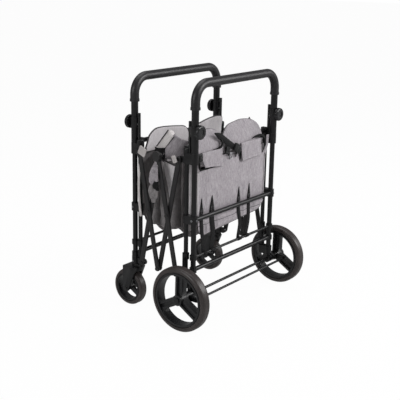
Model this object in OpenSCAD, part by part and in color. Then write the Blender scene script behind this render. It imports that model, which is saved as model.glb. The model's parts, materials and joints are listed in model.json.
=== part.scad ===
// Folding stroller wagon, standing folded on its wheels with both handles upright.
// X runs across the wagon, Y from the large rear wheels to the front casters, Z up.
// The origin is on the floor, under the middle of the folded wagon.

/* [Frame] */
// Distance across the wagon between the post centres
frame_w = 494; // [470:1:530]
// Distance from the rear posts to the front posts when folded
frame_d = 278; // [270:1:320]
// Outer diameter of the four posts
post_d = 19; // [18:0.5:20]
// Wall of the steel tubes
tube_wall = 1.5; // [1:0.1:2]
// Outer diameter of the inner posts
inner_post_d = 16; // [15:0.5:17]
// Outer diameter of the sockets beside the handle legs, which take the poles of a canopy
canopy_d = 11; // [10:0.5:12]
// Height of the open tops of the canopy sockets
canopy_top_z = 748; // [730:1:765]
// Distance from a rear post to the inner post beside it
rear_inner_gap = 34; // [31:0.5:38]
// Distance from a front post to the inner post beside it
front_inner_gap = 26; // [26:0.5:32]
// Outer diameter of the top, middle and lower crossbars
crossbar_d = 17; // [15:0.5:18]
// Outer diameter of the thin crossbars
thin_bar_d = 10; // [8:0.5:11]
// Height of the top crossbars
top_bar_z = 646; // [642:1:652]
// Height of the middle crossbars
mid_bar_z = 396; // [392:1:410]
// Height of the thin crossbars
thin_bar_z = 257; // [250:1:265]
// Height of the lower crossbars
lower_bar_z = 210; // [206:1:216]
// Wall of the plastic brackets round the posts
bracket_wall = 4; // [3:0.5:5]
// Height of the top brackets
top_bracket_h = 40; // [36:1:44]
// Height of the middle brackets
mid_bracket_h = 30; // [26:1:34]

/* [Handles] */
// Height of the handle bars' centre line with the handles pushed down
handle_z = 876; // [865:1:900]
// Outer diameter of the handle tubes
handle_d = 26; // [25:0.5:27]
// Bend radius of the handle tubes' centre line
handle_bend_r = 62; // [50:1:70]
// How far the handles pull up
handle_travel = 80; // [40:1:90]
// Outer diameter of the foam grips
grip_d = 32.5; // [30:0.5:34]
// How far the foam reaches down from the bar's centre line
grip_drop = 87; // [78:1:95]
// Diameter of the clamp knobs
knob_d = 50; // [44:1:56]
// Thickness of the clamp knobs
knob_t = 15; // [12:0.5:18]
// Height of the clamp knobs
knob_z = 714; // [705:1:725]
// Diameter of the clamp knobs' screws
knob_screw_d = 8; // [6:0.5:9]

/* [Scissor links] */
// Width of the flat-oval links
link_w = 20; // [16:0.5:21]
// Thickness of the links
link_t = 9; // [8:0.5:10]
// Gap between the two layers of links
link_gap = 1.5; // [1.2:0.1:3]
// Height of the upper pivots
pivot_top_z = 612; // [606:1:618]
// Height of the lower pivots when folded
pivot_low_z = 188; // [186:1:194]
// Distance from an inner post to the pivots beside it
pivot_reach = 22; // [20:0.5:26]
// Diameter of the pivot pins
pin_d = 8; // [6:0.5:9]
// Height of each of the two collars on a sliding carriage
collar_h = 22; // [18:1:26]
// Height of the upper collar's centre above the lower pivot
collar_rise = 68; // [60:1:72]

/* [Rear wheels] */
// Diameter of the rear wheels
wheel_d = 240; // [226:1:250]
// Width of the rear tyres
tyre_w = 41; // [34:1:44]
// Distance from a post's centre line out to the middle plane of the rear wheel beside it
wheel_out = 69; // [65:0.5:80]
// Depth of the rear tyres
tyre_t = 17; // [14:0.5:20]
// Depth of the rim ring under the tyre
rim_t = 11; // [9:0.5:14]
// Width of the rim's spokes
spoke_w = 31; // [26:1:36]
// Thickness of the rim's spokes
spoke_t = 14; // [10:0.5:18]
// Diameter of the rim's hub
hub_d = 40; // [36:1:46]
// Length of the rim's hub
hub_l = 44; // [40:1:50]
// Diameter of the rear axle
axle_d = 10; // [8:0.5:12]

/* [Brake] */
// Distance of the foot bar behind the axle
brake_reach = 50; // [44:1:60]
// Diameter of the foot bar
brake_bar_d = 9; // [8:0.5:11]
// Thickness of the brake levers
brake_lever_t = 9; // [7:0.5:10]

/* [Casters] */
// Diameter of the front casters
caster_d = 142; // [128:1:144]
// Width of the front casters
caster_w = 35; // [30:1:38]
// Distance of the caster axle in front of its swivel
caster_trail = 26; // [20:1:32]
// Depth of the caster tyres
caster_tyre_t = 14; // [11:0.5:17]
// Thickness of the fork arms
fork_arm_t = 8; // [6:0.5:10]
// Thickness of the fork crown
fork_crown_t = 14; // [12:0.5:16]
// Diameter of the caster stems
stem_d = 12; // [10:0.5:13]
// Diameter of the caster axles
caster_axle_d = 8; // [6:0.5:10]

/* [Fabric] */
// Distance from a post's centre line to the edge of the end panel
panel_inset = 39; // [32:1:47]
// Height of the end panels' lower edges
panel_bottom_z = 318; // [305:1:330]
// Height of the end panels' upper edges
panel_top_z = 602; // [595:1:612]
// Thickness of sewn fabric panels
cloth_t = 3; // [2:0.25:4]
// Distance from a post's centre line to the edge of the rear head panel
rear_head_inset = 43; // [33:1:55]
// Distance from a post's centre line to the edge of the front head panel
front_head_inset = 15; // [14:1:31]
// Height of the rear head panels' tops
rear_head_top_z = 692; // [680:1:700]
// Height of the front head panels' tops
front_head_top_z = 676; // [664:1:690]
// Thickness of the head panels
head_t = 14; // [10:0.5:15]
// Height of the flaps
flap_h = 64; // [56:1:70]
// Thickness of the backrest pads
backrest_t = 13; // [10:0.5:14]
// Distance from a post's centre line to the edge of the seat pads
seat_inset = 82; // [77:1:97]
// Depth of the seat pads
seat_depth = 205; // [180:1:220]
// Thickness of the seat pads
seat_t = 26; // [22:1:28]
// Depth of the folds in the side walls
fold_depth = 42; // [34:1:44]
// Width of the webbing straps
strap_w = 18; // [14:1:24]

/* [Hidden] */
$fn = 64;

// Clearances
over = 1;
fit = 0.15;
run_fit = 0.06;
slide_gap = 0.3;
seat_gap = 0.3;
side_play = 1.2;

// Heights and places that follow from the driving sizes
half_w = frame_w / 2;
wheel_r = wheel_d / 2;
caster_r = caster_d / 2;
y_rear = (wheel_r - caster_trail - caster_r - frame_d) / 2;
y_front = y_rear + frame_d;
post_r = post_d / 2;
inner_r = inner_post_d / 2;
handle_r = handle_d / 2;
bar_r = crossbar_d / 2;
thin_r = thin_bar_d / 2;
top_bracket_z1 = top_bar_z - bar_r + seat_gap;
top_bracket_z0 = top_bracket_z1 - top_bracket_h;
leg_bottom_z = top_bracket_z1 + seat_gap;
inner_post_top_z = top_bracket_z1 - bracket_wall;
bend_z = handle_z - handle_bend_r;
post_gap = 4;
screw_cover = 12;
post_top_z = min(bend_z - post_gap, knob_z + handle_travel + screw_cover);
strap_t = 2;
strap_v = bar_r + seat_gap;
panel_v = strap_v + strap_t + seat_gap;
rear_bar_v = panel_v + head_t + seat_gap + bar_r;
front_bar_v = panel_v + bar_r;
collar_r = inner_r + slide_gap + bracket_wall;
collar_low_z0 = pivot_low_z - collar_h / 2;
foot_gap = 4;
foot_top_z = collar_low_z0 - foot_gap;
crown_gap = 4;
crown_z0 = caster_d + crown_gap;
crown_z1 = crown_z0 + fork_crown_t;
housing_z0 = crown_z1 + side_play;

// Scissor geometry, folded
y_rear_pivot = y_rear + rear_inner_gap + pivot_reach;
y_front_pivot = y_front - front_inner_gap - pivot_reach;
y_mid = (y_rear_pivot + y_front_pivot) / 2;
half_span = (y_front_pivot - y_rear_pivot) / 2;
pivot_drop = pivot_top_z - pivot_low_z;
link_l = sqrt(half_span * half_span + pivot_drop * pivot_drop);
fold_angle = atan2(half_span, pivot_drop);
carriage_top_z = pivot_low_z + collar_rise + collar_h / 2;
carriage_stop_gap = 2;
carriage_travel = mid_bar_z - mid_bracket_h / 2 - carriage_stop_gap - carriage_top_z;
open_angle = acos((pivot_drop - carriage_travel) / link_l);
unfold_travel = 2 * link_l * sin(open_angle) - 2 * half_span;
layer_in = 18;
layer_x = [half_w + layer_in, half_w + layer_in + link_t + link_gap];
lug_r = 11;
head_d = 14;
head_h = 2.4;
rivet_h = 3;
mid_cap_d = 36;
mid_cap_t = 8;

echo(y_rear=y_rear, y_front=y_front, y_rear_pivot=y_rear_pivot, y_front_pivot=y_front_pivot, y_mid=y_mid);
echo(link_l=link_l, fold_angle=fold_angle, open_angle=open_angle, unfold_travel=unfold_travel);
echo(carriage_travel=carriage_travel, layer_x=layer_x, post_top_z=post_top_z, leg_bottom_z=leg_bottom_z);

// Colours
steel_black = "#2b2b2d";
plastic_black = "#1f1f21";
foam_grey = "#3a393b";
rubber_brown = "#2c2928";
cloth_grey = "#aca7aa";
cloth_pale = "#b9b7b6";
web_black = "#151515";

// Shared shapes

// Everything at the rear end is drawn inwards from the rear posts, towards +Y
module rear_end() {
  translate([0, y_rear, 0]) children();
}

// The front end is the same, seen from the front posts
module front_end() {
  translate([0, y_front, 0]) mirror([0, 1, 0]) children();
}

module on_left() {
  mirror([1, 0, 0]) children();
}

module both_sides() {
  children();
  on_left() children();
}

module tube(d, h) {
  difference() {
    cylinder(d=d, h=h);
    translate([0, 0, -over]) cylinder(d=d - 2 * tube_wall, h=h + 2 * over);
  }
}

// A cylinder along X from x0 to x1
module rod_x(d, x0, x1) {
  translate([x0, 0, 0]) rotate([0, 90, 0]) cylinder(d=d, h=x1 - x0);
}

// A crossbar between the posts, with its ends cut to fit round them
module crossbar(d) {
  difference() {
    rod_x(d, -half_w, half_w);
    rod_x(d - 2 * tube_wall, -half_w - over, half_w + over);
    both_sides()
      translate([half_w, 0, -d]) cylinder(r=post_r + fit, h=2 * d);
  }
}

// Plan of a block round a post and the inner post beside it
module post_pair_plan(gap) {
  translate([half_w, 0]) circle(r=post_r + bracket_wall);
  translate([half_w, gap]) circle(r=inner_r + bracket_wall);
  translate([half_w - inner_r - bracket_wall, 0]) square([2 * (inner_r + bracket_wall), gap]);
}

module post_bore(z0, z1) {
  translate([half_w, 0, z0]) cylinder(r=post_r + fit, h=z1 - z0);
}

module inner_post_bore(gap, z0, z1) {
  translate([half_w, gap, z0]) cylinder(r=inner_r + fit, h=z1 - z0);
}

// A lug that carries a pivot pin beside the given layer of links, with the pin and its head
module pivot_lug(gap, layer, z) {
  lug_t = layer_x[layer] - link_t / 2 - side_play - half_w;
  pin_end = layer_x[layer] + link_t / 2 + seat_gap - half_w;
  translate([half_w, gap, z]) {
    rotate([90, 0, 90]) linear_extrude(lug_t) {
      translate([pivot_reach, 0]) circle(r=lug_r);
      translate([0, -lug_r]) square([pivot_reach, 2 * lug_r]);
    }
    translate([0, pivot_reach, 0]) {
      rod_x(pin_d, 0, pin_end);
      rod_x(head_d, pin_end, pin_end + head_h);
    }
  }
}

// Rear and front frames

module end_posts(z0) {
  color(steel_black)
    both_sides()
      translate([half_w, 0, z0]) tube(post_d, post_top_z - z0);
}

module end_inner_posts(gap, z0) {
  color(steel_black)
    both_sides()
      translate([half_w, gap, z0]) tube(inner_post_d, inner_post_top_z - z0);
}

bar_seat = 4;
top_bar_half = half_w - inner_r - bracket_wall;

module end_top_bar(v) {
  color(steel_black)
    translate([0, v, top_bar_z]) difference() {
      rod_x(crossbar_d, -top_bar_half, top_bar_half);
      rod_x(crossbar_d - 2 * tube_wall, -top_bar_half - over, top_bar_half + over);
    }
}

module end_cross_bars() {
  color(steel_black) {
    translate([0, 0, mid_bar_z]) crossbar(crossbar_d);
    translate([0, 0, thin_bar_z]) crossbar(thin_bar_d);
    translate([0, 0, lower_bar_z]) crossbar(crossbar_d);
    for (z = [thin_bar_z, lower_bar_z])
      both_sides()
        translate([half_w, 0, z]) post_ring();
  }
}

ring_wall = 3.5;
ring_h = 18;
ring_r = min(post_r + ring_wall, front_inner_gap - collar_r - slide_gap);

// Ring round a post at the end of a crossbar
module post_ring() {
  difference() {
    cylinder(r=ring_r, h=ring_h, center=true);
    cylinder(r=post_r + fit, h=ring_h + 2 * over, center=true);
  }
}

socket_r = bar_r + bracket_wall;
clamp_wall = 3;
clamp_r = handle_r + clamp_wall;
canopy_v = clamp_r + seat_gap + canopy_d / 2;
canopy_wall = 2;
canopy_depth = 70;
canopy_bore_d = canopy_d - 2 * canopy_wall;

// Block round both posts, with sockets for the top crossbar and a canopy pole, and the upper scissor pivot
module end_top_brackets(gap, layer, bar_v) {
  color(plastic_black)
    both_sides()
      difference() {
        union() {
          translate([0, 0, top_bracket_z0]) linear_extrude(top_bracket_h) post_pair_plan(gap);
          translate([half_w, canopy_v, top_bracket_z0])
            cylinder(d=canopy_d, h=canopy_top_z - top_bracket_z0);
          translate([top_bar_half - bar_seat, bar_v - socket_r, top_bracket_z0])
            cube([half_w - top_bar_half + bar_seat, 2 * socket_r, top_bar_z + socket_r - top_bracket_z0]);
          pivot_lug(gap, layer, pivot_top_z);
        }
        post_bore(top_bracket_z0 - over, top_bracket_z1 + over);
        translate([half_w, 0, top_bracket_z1])
          cylinder(r=handle_r + side_play, h=top_bracket_h);
        inner_post_bore(gap, top_bracket_z0 - over, inner_post_top_z + fit);
        translate([0, bar_v, top_bar_z]) rod_x(crossbar_d + 2 * fit, 0, top_bar_half + fit);
        translate([half_w, canopy_v, canopy_top_z - canopy_depth])
          cylinder(d=canopy_bore_d, h=canopy_depth + over);
      }
}

module end_mid_brackets(gap) {
  color(plastic_black)
    both_sides()
      difference() {
        translate([0, 0, mid_bar_z - mid_bracket_h / 2])
          linear_extrude(mid_bracket_h) post_pair_plan(gap);
        post_bore(mid_bar_z - mid_bracket_h, mid_bar_z + mid_bracket_h);
        inner_post_bore(gap, mid_bar_z - mid_bracket_h, mid_bar_z + mid_bracket_h);
        translate([0, 0, mid_bar_z]) rod_x(crossbar_d + 2 * fit, 0, half_w);
      }
}

// Rear axle brackets stand under the posts and carry the axle
rear_socket = 30;
boss_d = 32;
boss_x0 = half_w - inner_r - bracket_wall;
wheel_x = half_w + wheel_out;
hub_x0 = wheel_x - hub_l / 2;
lever_x1 = hub_x0 - side_play;
lever_x0 = lever_x1 - brake_lever_t;
boss_x1 = lever_x0 - side_play;
rear_post_z0 = foot_top_z - rear_socket;

module rear_axle_brackets() {
  color(plastic_black)
    rear_end() both_sides()
      difference() {
        union() {
          translate([0, 0, rear_post_z0 - bracket_wall])
            linear_extrude(rear_socket + bracket_wall) post_pair_plan(rear_inner_gap);
          translate([0, 0, wheel_r]) rod_x(boss_d, boss_x0, boss_x1);
          translate([boss_x0, -boss_d / 2, wheel_r])
            cube([2 * (inner_r + bracket_wall), boss_d, rear_post_z0 - wheel_r]);
        }
        post_bore(rear_post_z0, foot_top_z + over);
        inner_post_bore(rear_inner_gap, rear_post_z0, foot_top_z + over);
        translate([0, 0, wheel_r]) rod_x(axle_d + 2 * fit, boss_x0 - over, boss_x1 + over);
      }
}

axle_head_d = 22;
axle_head_t = 4;
axle_half = wheel_x + hub_l / 2 + seat_gap;

module rear_axle() {
  color(steel_black)
    rear_end() translate([0, 0, wheel_r]) {
      rod_x(axle_d, -axle_half, axle_half);
      both_sides()
        rod_x(axle_head_d, axle_half, axle_half + axle_head_t);
    }
}

// Housings under the front posts hold the caster stems
front_socket = 14;
front_post_z0 = lower_bar_z - ring_h / 2 - seat_gap - front_socket;
stem_bore_h = front_post_z0 - bracket_wall - housing_z0;
front_inner_z0 = housing_z0 + bracket_wall;

module caster_housings() {
  color(plastic_black)
    front_end() both_sides()
      difference() {
        union() {
          translate([0, 0, housing_z0])
            linear_extrude(foot_top_z - housing_z0) post_pair_plan(front_inner_gap);
          translate([half_w, 0, housing_z0])
            cylinder(r=post_r + bracket_wall, h=front_post_z0 + front_socket - housing_z0);
        }
        post_bore(front_post_z0, front_post_z0 + front_socket + over);
        inner_post_bore(front_inner_gap, front_inner_z0, foot_top_z + over);
        translate([half_w, 0, housing_z0 - over])
          cylinder(d=stem_d + 2 * run_fit, h=stem_bore_h + over);
        translate([half_w, front_inner_gap, foot_top_z])
          cylinder(r=collar_r + slide_gap, h=front_post_z0 + front_socket + over - foot_top_z);
      }
}

// Telescoping handles

bar_straight = half_w - handle_bend_r;

// A bent tube or sleeve along the handle, with legs that end at z0
module handle_sweep(d, z0) {
  both_sides() {
    translate([half_w, 0, z0]) cylinder(d=d, h=bend_z - z0);
    translate([bar_straight, 0, bend_z]) rotate([90, 0, 0])
      rotate_extrude(angle=90) translate([handle_bend_r, 0]) circle(d=d);
  }
  translate([0, 0, handle_z]) rod_x(d, -bar_straight, bar_straight);
}

leg_bore_d = post_d + 2 * slide_gap;
clamp_h = 36;

// Handle tube with the clamp collar of each knob
module handle_tube() {
  color(steel_black)
    difference() {
      union() {
        handle_sweep(handle_d, leg_bottom_z);
        both_sides()
          translate([half_w, 0, knob_z - clamp_h / 2]) cylinder(r=clamp_r, h=clamp_h);
      }
      handle_sweep(leg_bore_d, leg_bottom_z - over);
      both_sides()
        translate([half_w, 0, knob_z]) rotate([90, 0, 0])
          cylinder(d=knob_screw_d + 2 * run_fit, h=clamp_r + over);
    }
}

grip_ring_h = 9;
grip_ring_rise = 1.5;
grip_ring_d = grip_d + 2 * grip_ring_rise;

// Foam grip with a thicker ring at each end
module handle_grip() {
  grip_z0 = handle_z - grip_drop;
  color(foam_grey)
    difference() {
      union() {
        handle_sweep(grip_d, grip_z0);
        both_sides()
          translate([half_w, 0, grip_z0]) cylinder(d=grip_ring_d, h=grip_ring_h);
      }
      handle_sweep(handle_d + 2 * fit, grip_z0 - over);
    }
}

knob_flutes = 10;
flute_d = 9;
knob_dish_d = 22;
knob_dish_t = 2.5;
knob_round = 6;

// Round clamp knob with a fluted rim, its screw and the screw's blunt tip beside the post
module clamp_knob() {
  back_y = clamp_r + seat_gap;
  color(plastic_black)
    translate([half_w, 0, knob_z]) rotate([90, 0, 0]) {
      translate([0, 0, post_r + slide_gap]) cylinder(d=knob_screw_d, h=back_y - post_r);
      difference() {
        translate([0, 0, back_y]) rotate_extrude() {
          square([knob_d / 2 - knob_round, knob_t]);
          square([knob_d / 2, knob_t - knob_round]);
          translate([knob_d / 2 - knob_round, knob_t - knob_round]) circle(r=knob_round);
        }
        translate([0, 0, back_y + knob_t - knob_dish_t])
          cylinder(d=knob_dish_d, h=knob_dish_t + over);
        for (i = [0 : knob_flutes - 1])
          rotate(i * 360 / knob_flutes)
            translate([knob_d / 2 + flute_d / 4, 0, back_y - over])
              cylinder(d=flute_d, h=knob_t + 2 * over);
      }
    }
}

// Scissor links

// A flat-oval link that hangs from its upper pivot, leaning by angle, in one layer.
// kinds gives the upper, middle and lower pivot: bore, stud or rivet.
module scissor_link(layer, y_top, angle, kinds, face) {
  rivet_end = face * (link_t / 2 + rivet_h);
  color(steel_black)
    translate([layer_x[layer], y_top, pivot_top_z]) rotate([angle, 0, 0])
      difference() {
        union() {
          translate([0, 0, -link_l]) linear_extrude(link_l) link_section();
          for (z = [0, -link_l])
            translate([0, 0, z]) link_end();
          for (i = [0 : 2])
            translate([0, 0, -i * link_l / 2]) {
              if (kinds[i] == "stud") link_stud();
              if (kinds[i] == "rivet") rod_x(head_d, min(0, rivet_end), max(0, rivet_end));
              if (kinds[i] == "rivet" && layer == 0) rod_x(head_d, 0, link_t / 2 + link_gap - seat_gap);
              if (kinds[i] == "cap") rod_x(mid_cap_d, link_t / 2 - over, link_t / 2 + mid_cap_t);
            }
        }
        for (i = [0 : 2])
          if (kinds[i] == "bore")
            translate([0, 0, -i * link_l / 2])
              rod_x(pin_d + 2 * run_fit, -link_t, link_t);
      }
}

module link_section() {
  flat = link_w - link_t;
  square([link_t, flat], center=true);
  for (s = [-1, 1])
    translate([0, s * flat / 2]) circle(d=link_t);
}

// Round end of a link: the same oval section turned about the pivot
module link_end() {
  flat = link_w - link_t;
  rotate([0, 90, 0]) {
    rotate_extrude() {
      translate([flat / 2, 0]) intersection() {
        circle(d=link_t);
        translate([0, -link_t]) square([link_t, 2 * link_t]);
      }
      translate([0, -link_t / 2]) square([flat / 2, link_t]);
    }
  }
}

// Stud of an inner link, through the outer link that it crosses
module link_stud() {
  end = link_t / 2 + link_gap + link_t + seat_gap;
  rod_x(pin_d, 0, end);
  rod_x(head_d, end, end + head_h);
}

module rear_hung_link() {
  scissor_link(0, y_rear_pivot, fold_angle, ["bore", "stud", "rivet"], -1);
}

module rear_carriage_link() {
  scissor_link(1, y_mid, -fold_angle, ["cap", "bore", "bore"], 1);
}

module front_hung_link() {
  scissor_link(1, y_front_pivot, -fold_angle, ["bore", "bore", "rivet"], 1);
}

module front_carriage_link() {
  scissor_link(0, y_mid, fold_angle, ["rivet", "stud", "bore"], -1);
}

web_t = 10;

// Carriage with two collars that slides on an inner post and holds a link's lower end
module carriage(gap, layer) {
  color(plastic_black) {
    difference() {
      union() {
        for (z = [collar_low_z0, collar_low_z0 + collar_rise])
          translate([half_w, gap, z]) cylinder(r=collar_r, h=collar_h);
        translate([half_w - web_t / 2, gap, collar_low_z0])
          cube([web_t, collar_r, collar_rise + collar_h]);
        pivot_lug(gap, layer, pivot_low_z);
      }
      translate([half_w, gap, collar_low_z0 - over])
        cylinder(r=inner_r + slide_gap, h=collar_rise + collar_h + 2 * over);
    }
  }
}

// Wheels

// Section of a tyre with round shoulders, from its seat radius to its outer radius
module tyre_section(r0, r1, w, shoulder) {
  translate([r0, -w / 2]) square([r1 - shoulder - r0, w]);
  translate([r0, shoulder - w / 2]) square([r1 - r0, w - 2 * shoulder]);
  for (s = [-1, 1])
    translate([r1 - shoulder, s * (w / 2 - shoulder)]) intersection() {
      circle(r=shoulder);
      translate([0, -shoulder]) square([shoulder, 2 * shoulder]);
    }
}

shoulder_share = 0.72;
rim_flange = 3;
rim_side = 3;

module wheel_tyre(r, w, t) {
  color(rubber_brown)
    rotate([0, 90, 0]) rotate_extrude($fn=96)
      tyre_section(r - t, r, w, t * shoulder_share);
}

// Rim ring with a small flange inside each tyre edge
module rim_ring(r0, r1, w) {
  depth = r1 - seat_gap - r0;
  rotate([0, 90, 0]) rotate_extrude($fn=96) {
    translate([r0, -w / 2 + rim_side]) square([depth, w - 2 * rim_side]);
    for (s = [-1, 1])
      translate([r0, s * (w / 2 - rim_side / 2) - rim_side / 2]) square([depth - rim_flange, rim_side]);
  }
}

spokes = 3;
spoke_angle = 1;
spoke_edge_share = 0.28;

module rear_rim() {
  rim_r1 = wheel_r - tyre_t;
  rim_r0 = rim_r1 - rim_t;
  edge_w = spoke_w * spoke_edge_share;
  color(plastic_black)
    difference() {
      union() {
        rim_ring(rim_r0, rim_r1, tyre_w);
        rod_x(hub_d, -hub_l / 2, hub_l / 2);
        for (i = [0 : spokes - 1])
          rotate([spoke_angle + i * 360 / spokes, 0, 0]) {
            translate([-spoke_t / 2, -spoke_w / 2, 0]) cube([spoke_t, spoke_w, rim_r0 + rim_flange]);
            for (s = [-1, 1])
              translate([-spoke_t, s * (spoke_w - edge_w) / 2 - edge_w / 2, 0])
                cube([2 * spoke_t, edge_w, rim_r0 + rim_flange]);
          }
      }
      rod_x(axle_d + 2 * run_fit, -hub_l, hub_l);
    }
}

module at_rear_wheel() {
  rear_end() translate([wheel_x, 0, wheel_r]) children();
}

// Brake levers hang on the axle between the brackets and the hubs
lever_r = 18;
lever_tail = 34;
lever_nose_r = 9;

module brake_levers() {
  color(plastic_black)
    rear_end() both_sides()
      translate([lever_x0, 0, wheel_r]) difference() {
        rotate([90, 0, 90]) linear_extrude(brake_lever_t) {
          circle(r=lever_r);
          translate([-brake_reach, 0]) circle(r=lever_nose_r);
          translate([-brake_reach, -lever_nose_r]) square([brake_reach, 2 * lever_nose_r]);
          translate([0, -lever_nose_r]) square([lever_tail, 2 * lever_nose_r]);
          translate([lever_tail, 0]) circle(r=lever_nose_r);
        }
        rod_x(axle_d + 2 * run_fit, -over, brake_lever_t + over);
        translate([0, -brake_reach, 0])
          rod_x(brake_bar_d + 2 * fit, -over, brake_lever_t + over);
      }
}

module brake_foot_bar() {
  color(steel_black)
    rear_end() translate([0, -brake_reach, wheel_r]) rod_x(brake_bar_d, -lever_x1, lever_x1);
}

// Casters

fork_play = 2.5;
fork_in = caster_w / 2 + fork_play;
fork_out = fork_in + fork_arm_t;
crown_d = 60;
arm_r = 15;
arm_top_w = 66;
caster_head_t = 3;

// Fork with its stem and the caster's axle, drawn about the swivel axis
module caster_fork() {
  color(plastic_black)
    translate([half_w, 0, 0]) {
      translate([0, 0, crown_z0]) cylinder(d=crown_d, h=fork_crown_t);
      translate([-fork_out, -caster_trail - arm_r, crown_z0])
        cube([2 * fork_out, caster_trail + arm_r, fork_crown_t]);
      translate([0, 0, crown_z1]) cylinder(d=stem_d, h=stem_bore_h - seat_gap);
      for (s = [-1, 1])
        translate([s * (fork_in + fork_arm_t / 2) - fork_arm_t / 2, -caster_trail, caster_r])
          rotate([90, 0, 90]) linear_extrude(fork_arm_t) {
            circle(r=arm_r);
            polygon([
              [-arm_r, 0],
              [arm_r, 0],
              [arm_top_w - arm_r, crown_z1 - caster_r],
              [-arm_r, crown_z1 - caster_r]
            ]);
          }
      translate([0, -caster_trail, caster_r]) {
        rod_x(caster_axle_d, -fork_in, fork_in);
        both_sides() rod_x(head_d, fork_out, fork_out + caster_head_t);
      }
    }
}

caster_rim_t = 8;
caster_hub_d = 26;
caster_web_t = 10;
caster_spokes = 3;
caster_spoke_w = 18;

module caster_rim() {
  rim_r1 = caster_r - caster_tyre_t;
  rim_r0 = rim_r1 - caster_rim_t;
  color(plastic_black)
    difference() {
      union() {
        rim_ring(rim_r0, rim_r1, caster_w);
        rod_x(caster_hub_d, -caster_w / 2, caster_w / 2);
        for (i = [0 : caster_spokes - 1])
          rotate([i * 360 / caster_spokes, 0, 0])
            translate([-caster_web_t / 2, -caster_spoke_w / 2, 0])
              cube([caster_web_t, caster_spoke_w, rim_r0 + rim_flange]);
      }
      rod_x(caster_axle_d + 2 * run_fit, -caster_w, caster_w);
    }
}

module at_caster_wheel() {
  front_end() translate([half_w, -caster_trail, caster_r]) children();
}

// Fabric

panel_w = frame_w - 2 * panel_inset;
panel_corner_r = 42;
head_gap = 4;
rear_head_w = half_w - rear_head_inset - head_gap / 2;
front_head_w = half_w - front_head_inset - head_gap / 2;
seat_w = frame_w - 2 * seat_inset;
head_corner_r = 46;
front_head_v = front_bar_v + bar_r + seat_gap;
back_v = panel_v + cloth_t + seat_gap;
back_inset = 12;
back_w = panel_w - 2 * back_inset;
back_z0 = 402;
back_z1 = panel_top_z;
back_corner_r = 30;
seat_v = back_v + backrest_t + seat_gap + seat_t / 2;
seat_hinge_z = 384;
hinge_rod_d = 8;
seat_corner_r = 26;
pad_edge_share = 0.28;
pad_draw_share = 0.03;
pad_sewn_share = 0.35;
pad_cols = 14;

// Half width, top edge and half thickness of a pad at the column s (-1 to 1) and the height q (0 to 1)
function pad_x(w, s, q) = s * w / 2 * (1 - pad_draw_share * 4 * q * (1 - q));
function pad_top(w, h, corner_r, s) =
  let (x = max(0, abs(s) * w / 2 - (w / 2 - corner_r)))
    h - corner_r + sqrt(max(0, corner_r * corner_r - x * x));
function pad_sewn(q, rows) =
  rows > 0 && q > 0 && q < 1 ? pad_sewn_share * pow(abs(cos(180 * q * rows)), 24) : 0;
function pad_half(t, s, q, rows) =
  t / 2 * (pad_edge_share + (1 - pad_edge_share) * sqrt((1 - pow(s, 4)) * (1 - pow(2 * q - 1, 4))))
  * (1 - pad_sewn(q, rows));

// Two triangles for each cell of one face of a pad, whose points start at first
function pad_cells(first, rows, turned) = [
  for (j = [0 : rows - 1]) for (i = [0 : pad_cols - 1]) for (half = [0, 1])
    let (n = pad_cols + 1)
    let (a = first + j * n + i)
    let (tri = half == 0 ? [a, a + n + 1, a + 1] : [a, a + n, a + n + 1])
      turned ? [tri[0], tri[2], tri[1]] : tri
];

// Closed pad with a crowned front and back and drawn-in sides, standing on z = 0.
// Its upper corners are rounded, and it has as many sewn channels as channels says.
module pad(w, h, t, corner_r, channels) {
  rows = channels > 0 ? 4 * channels : 8;
  n = pad_cols + 1;
  m = n * (rows + 1);
  points = [
    for (f = [-1, 1]) for (j = [0 : rows]) for (i = [0 : pad_cols])
      let (s = sin(180 * i / pad_cols - 90))
      let (q = j / rows)
        [pad_x(w, s, q), f * pad_half(t, s, q, channels), q * pad_top(w, h, corner_r, s)]
  ];
  rim = concat(
    [for (i = [0 : pad_cols]) i],
    [for (j = [1 : rows]) j * n + pad_cols],
    [for (i = [1 : pad_cols]) rows * n + pad_cols - i],
    [for (j = [1 : rows - 1]) (rows - j) * n]
  );
  last = len(rim);
  edge = [
    for (k = [0 : last - 1]) for (half = [0, 1])
      let (a = rim[k])
      let (b = rim[(k + 1) % last])
        half == 0 ? [a, b, m + b] : [a, m + b, m + a]
  ];
  polyhedron(points=points, faces=concat(pad_cells(0, rows, false), pad_cells(m, rows, true), edge));
}

// A line through hand-placed points that eases from one to the next, and a band of thickness t along it
fold_steps = 6;
function eased(p, q, f) = [p[0] + (q[0] - p[0]) * f, p[1] + (q[1] - p[1]) * (1 - cos(180 * f)) / 2];
function fold_line(pts) = concat(
  [for (i = [0 : len(pts) - 2]) for (k = [0 : fold_steps - 1]) eased(pts[i], pts[i + 1], k / fold_steps)],
  [pts[len(pts) - 1]]
);
function line_normal(line, i) =
  let (a = line[max(0, i - 1)])
  let (b = line[min(len(line) - 1, i + 1)])
  let (d = b - a)
    [-d[1], d[0]] / norm(d);
function band(line, t) = concat(
  [for (i = [0 : len(line) - 1]) line[i] + line_normal(line, i) * t / 2],
  [for (i = [len(line) - 1 : -1 : 0]) line[i] - line_normal(line, i) * t / 2]
);

// A flat sheet in the XZ plane, its outer face at the given distance from the posts
module upright_sheet(v, t) {
  translate([0, v + t, 0]) rotate([90, 0, 0]) linear_extrude(t) children();
}

// A profile in the inward and upward directions, extruded across the wagon from x0 to x1
module across(x0, x1) {
  translate([x0, 0, 0]) rotate([90, 0, 90]) linear_extrude(x1 - x0) children();
}

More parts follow.
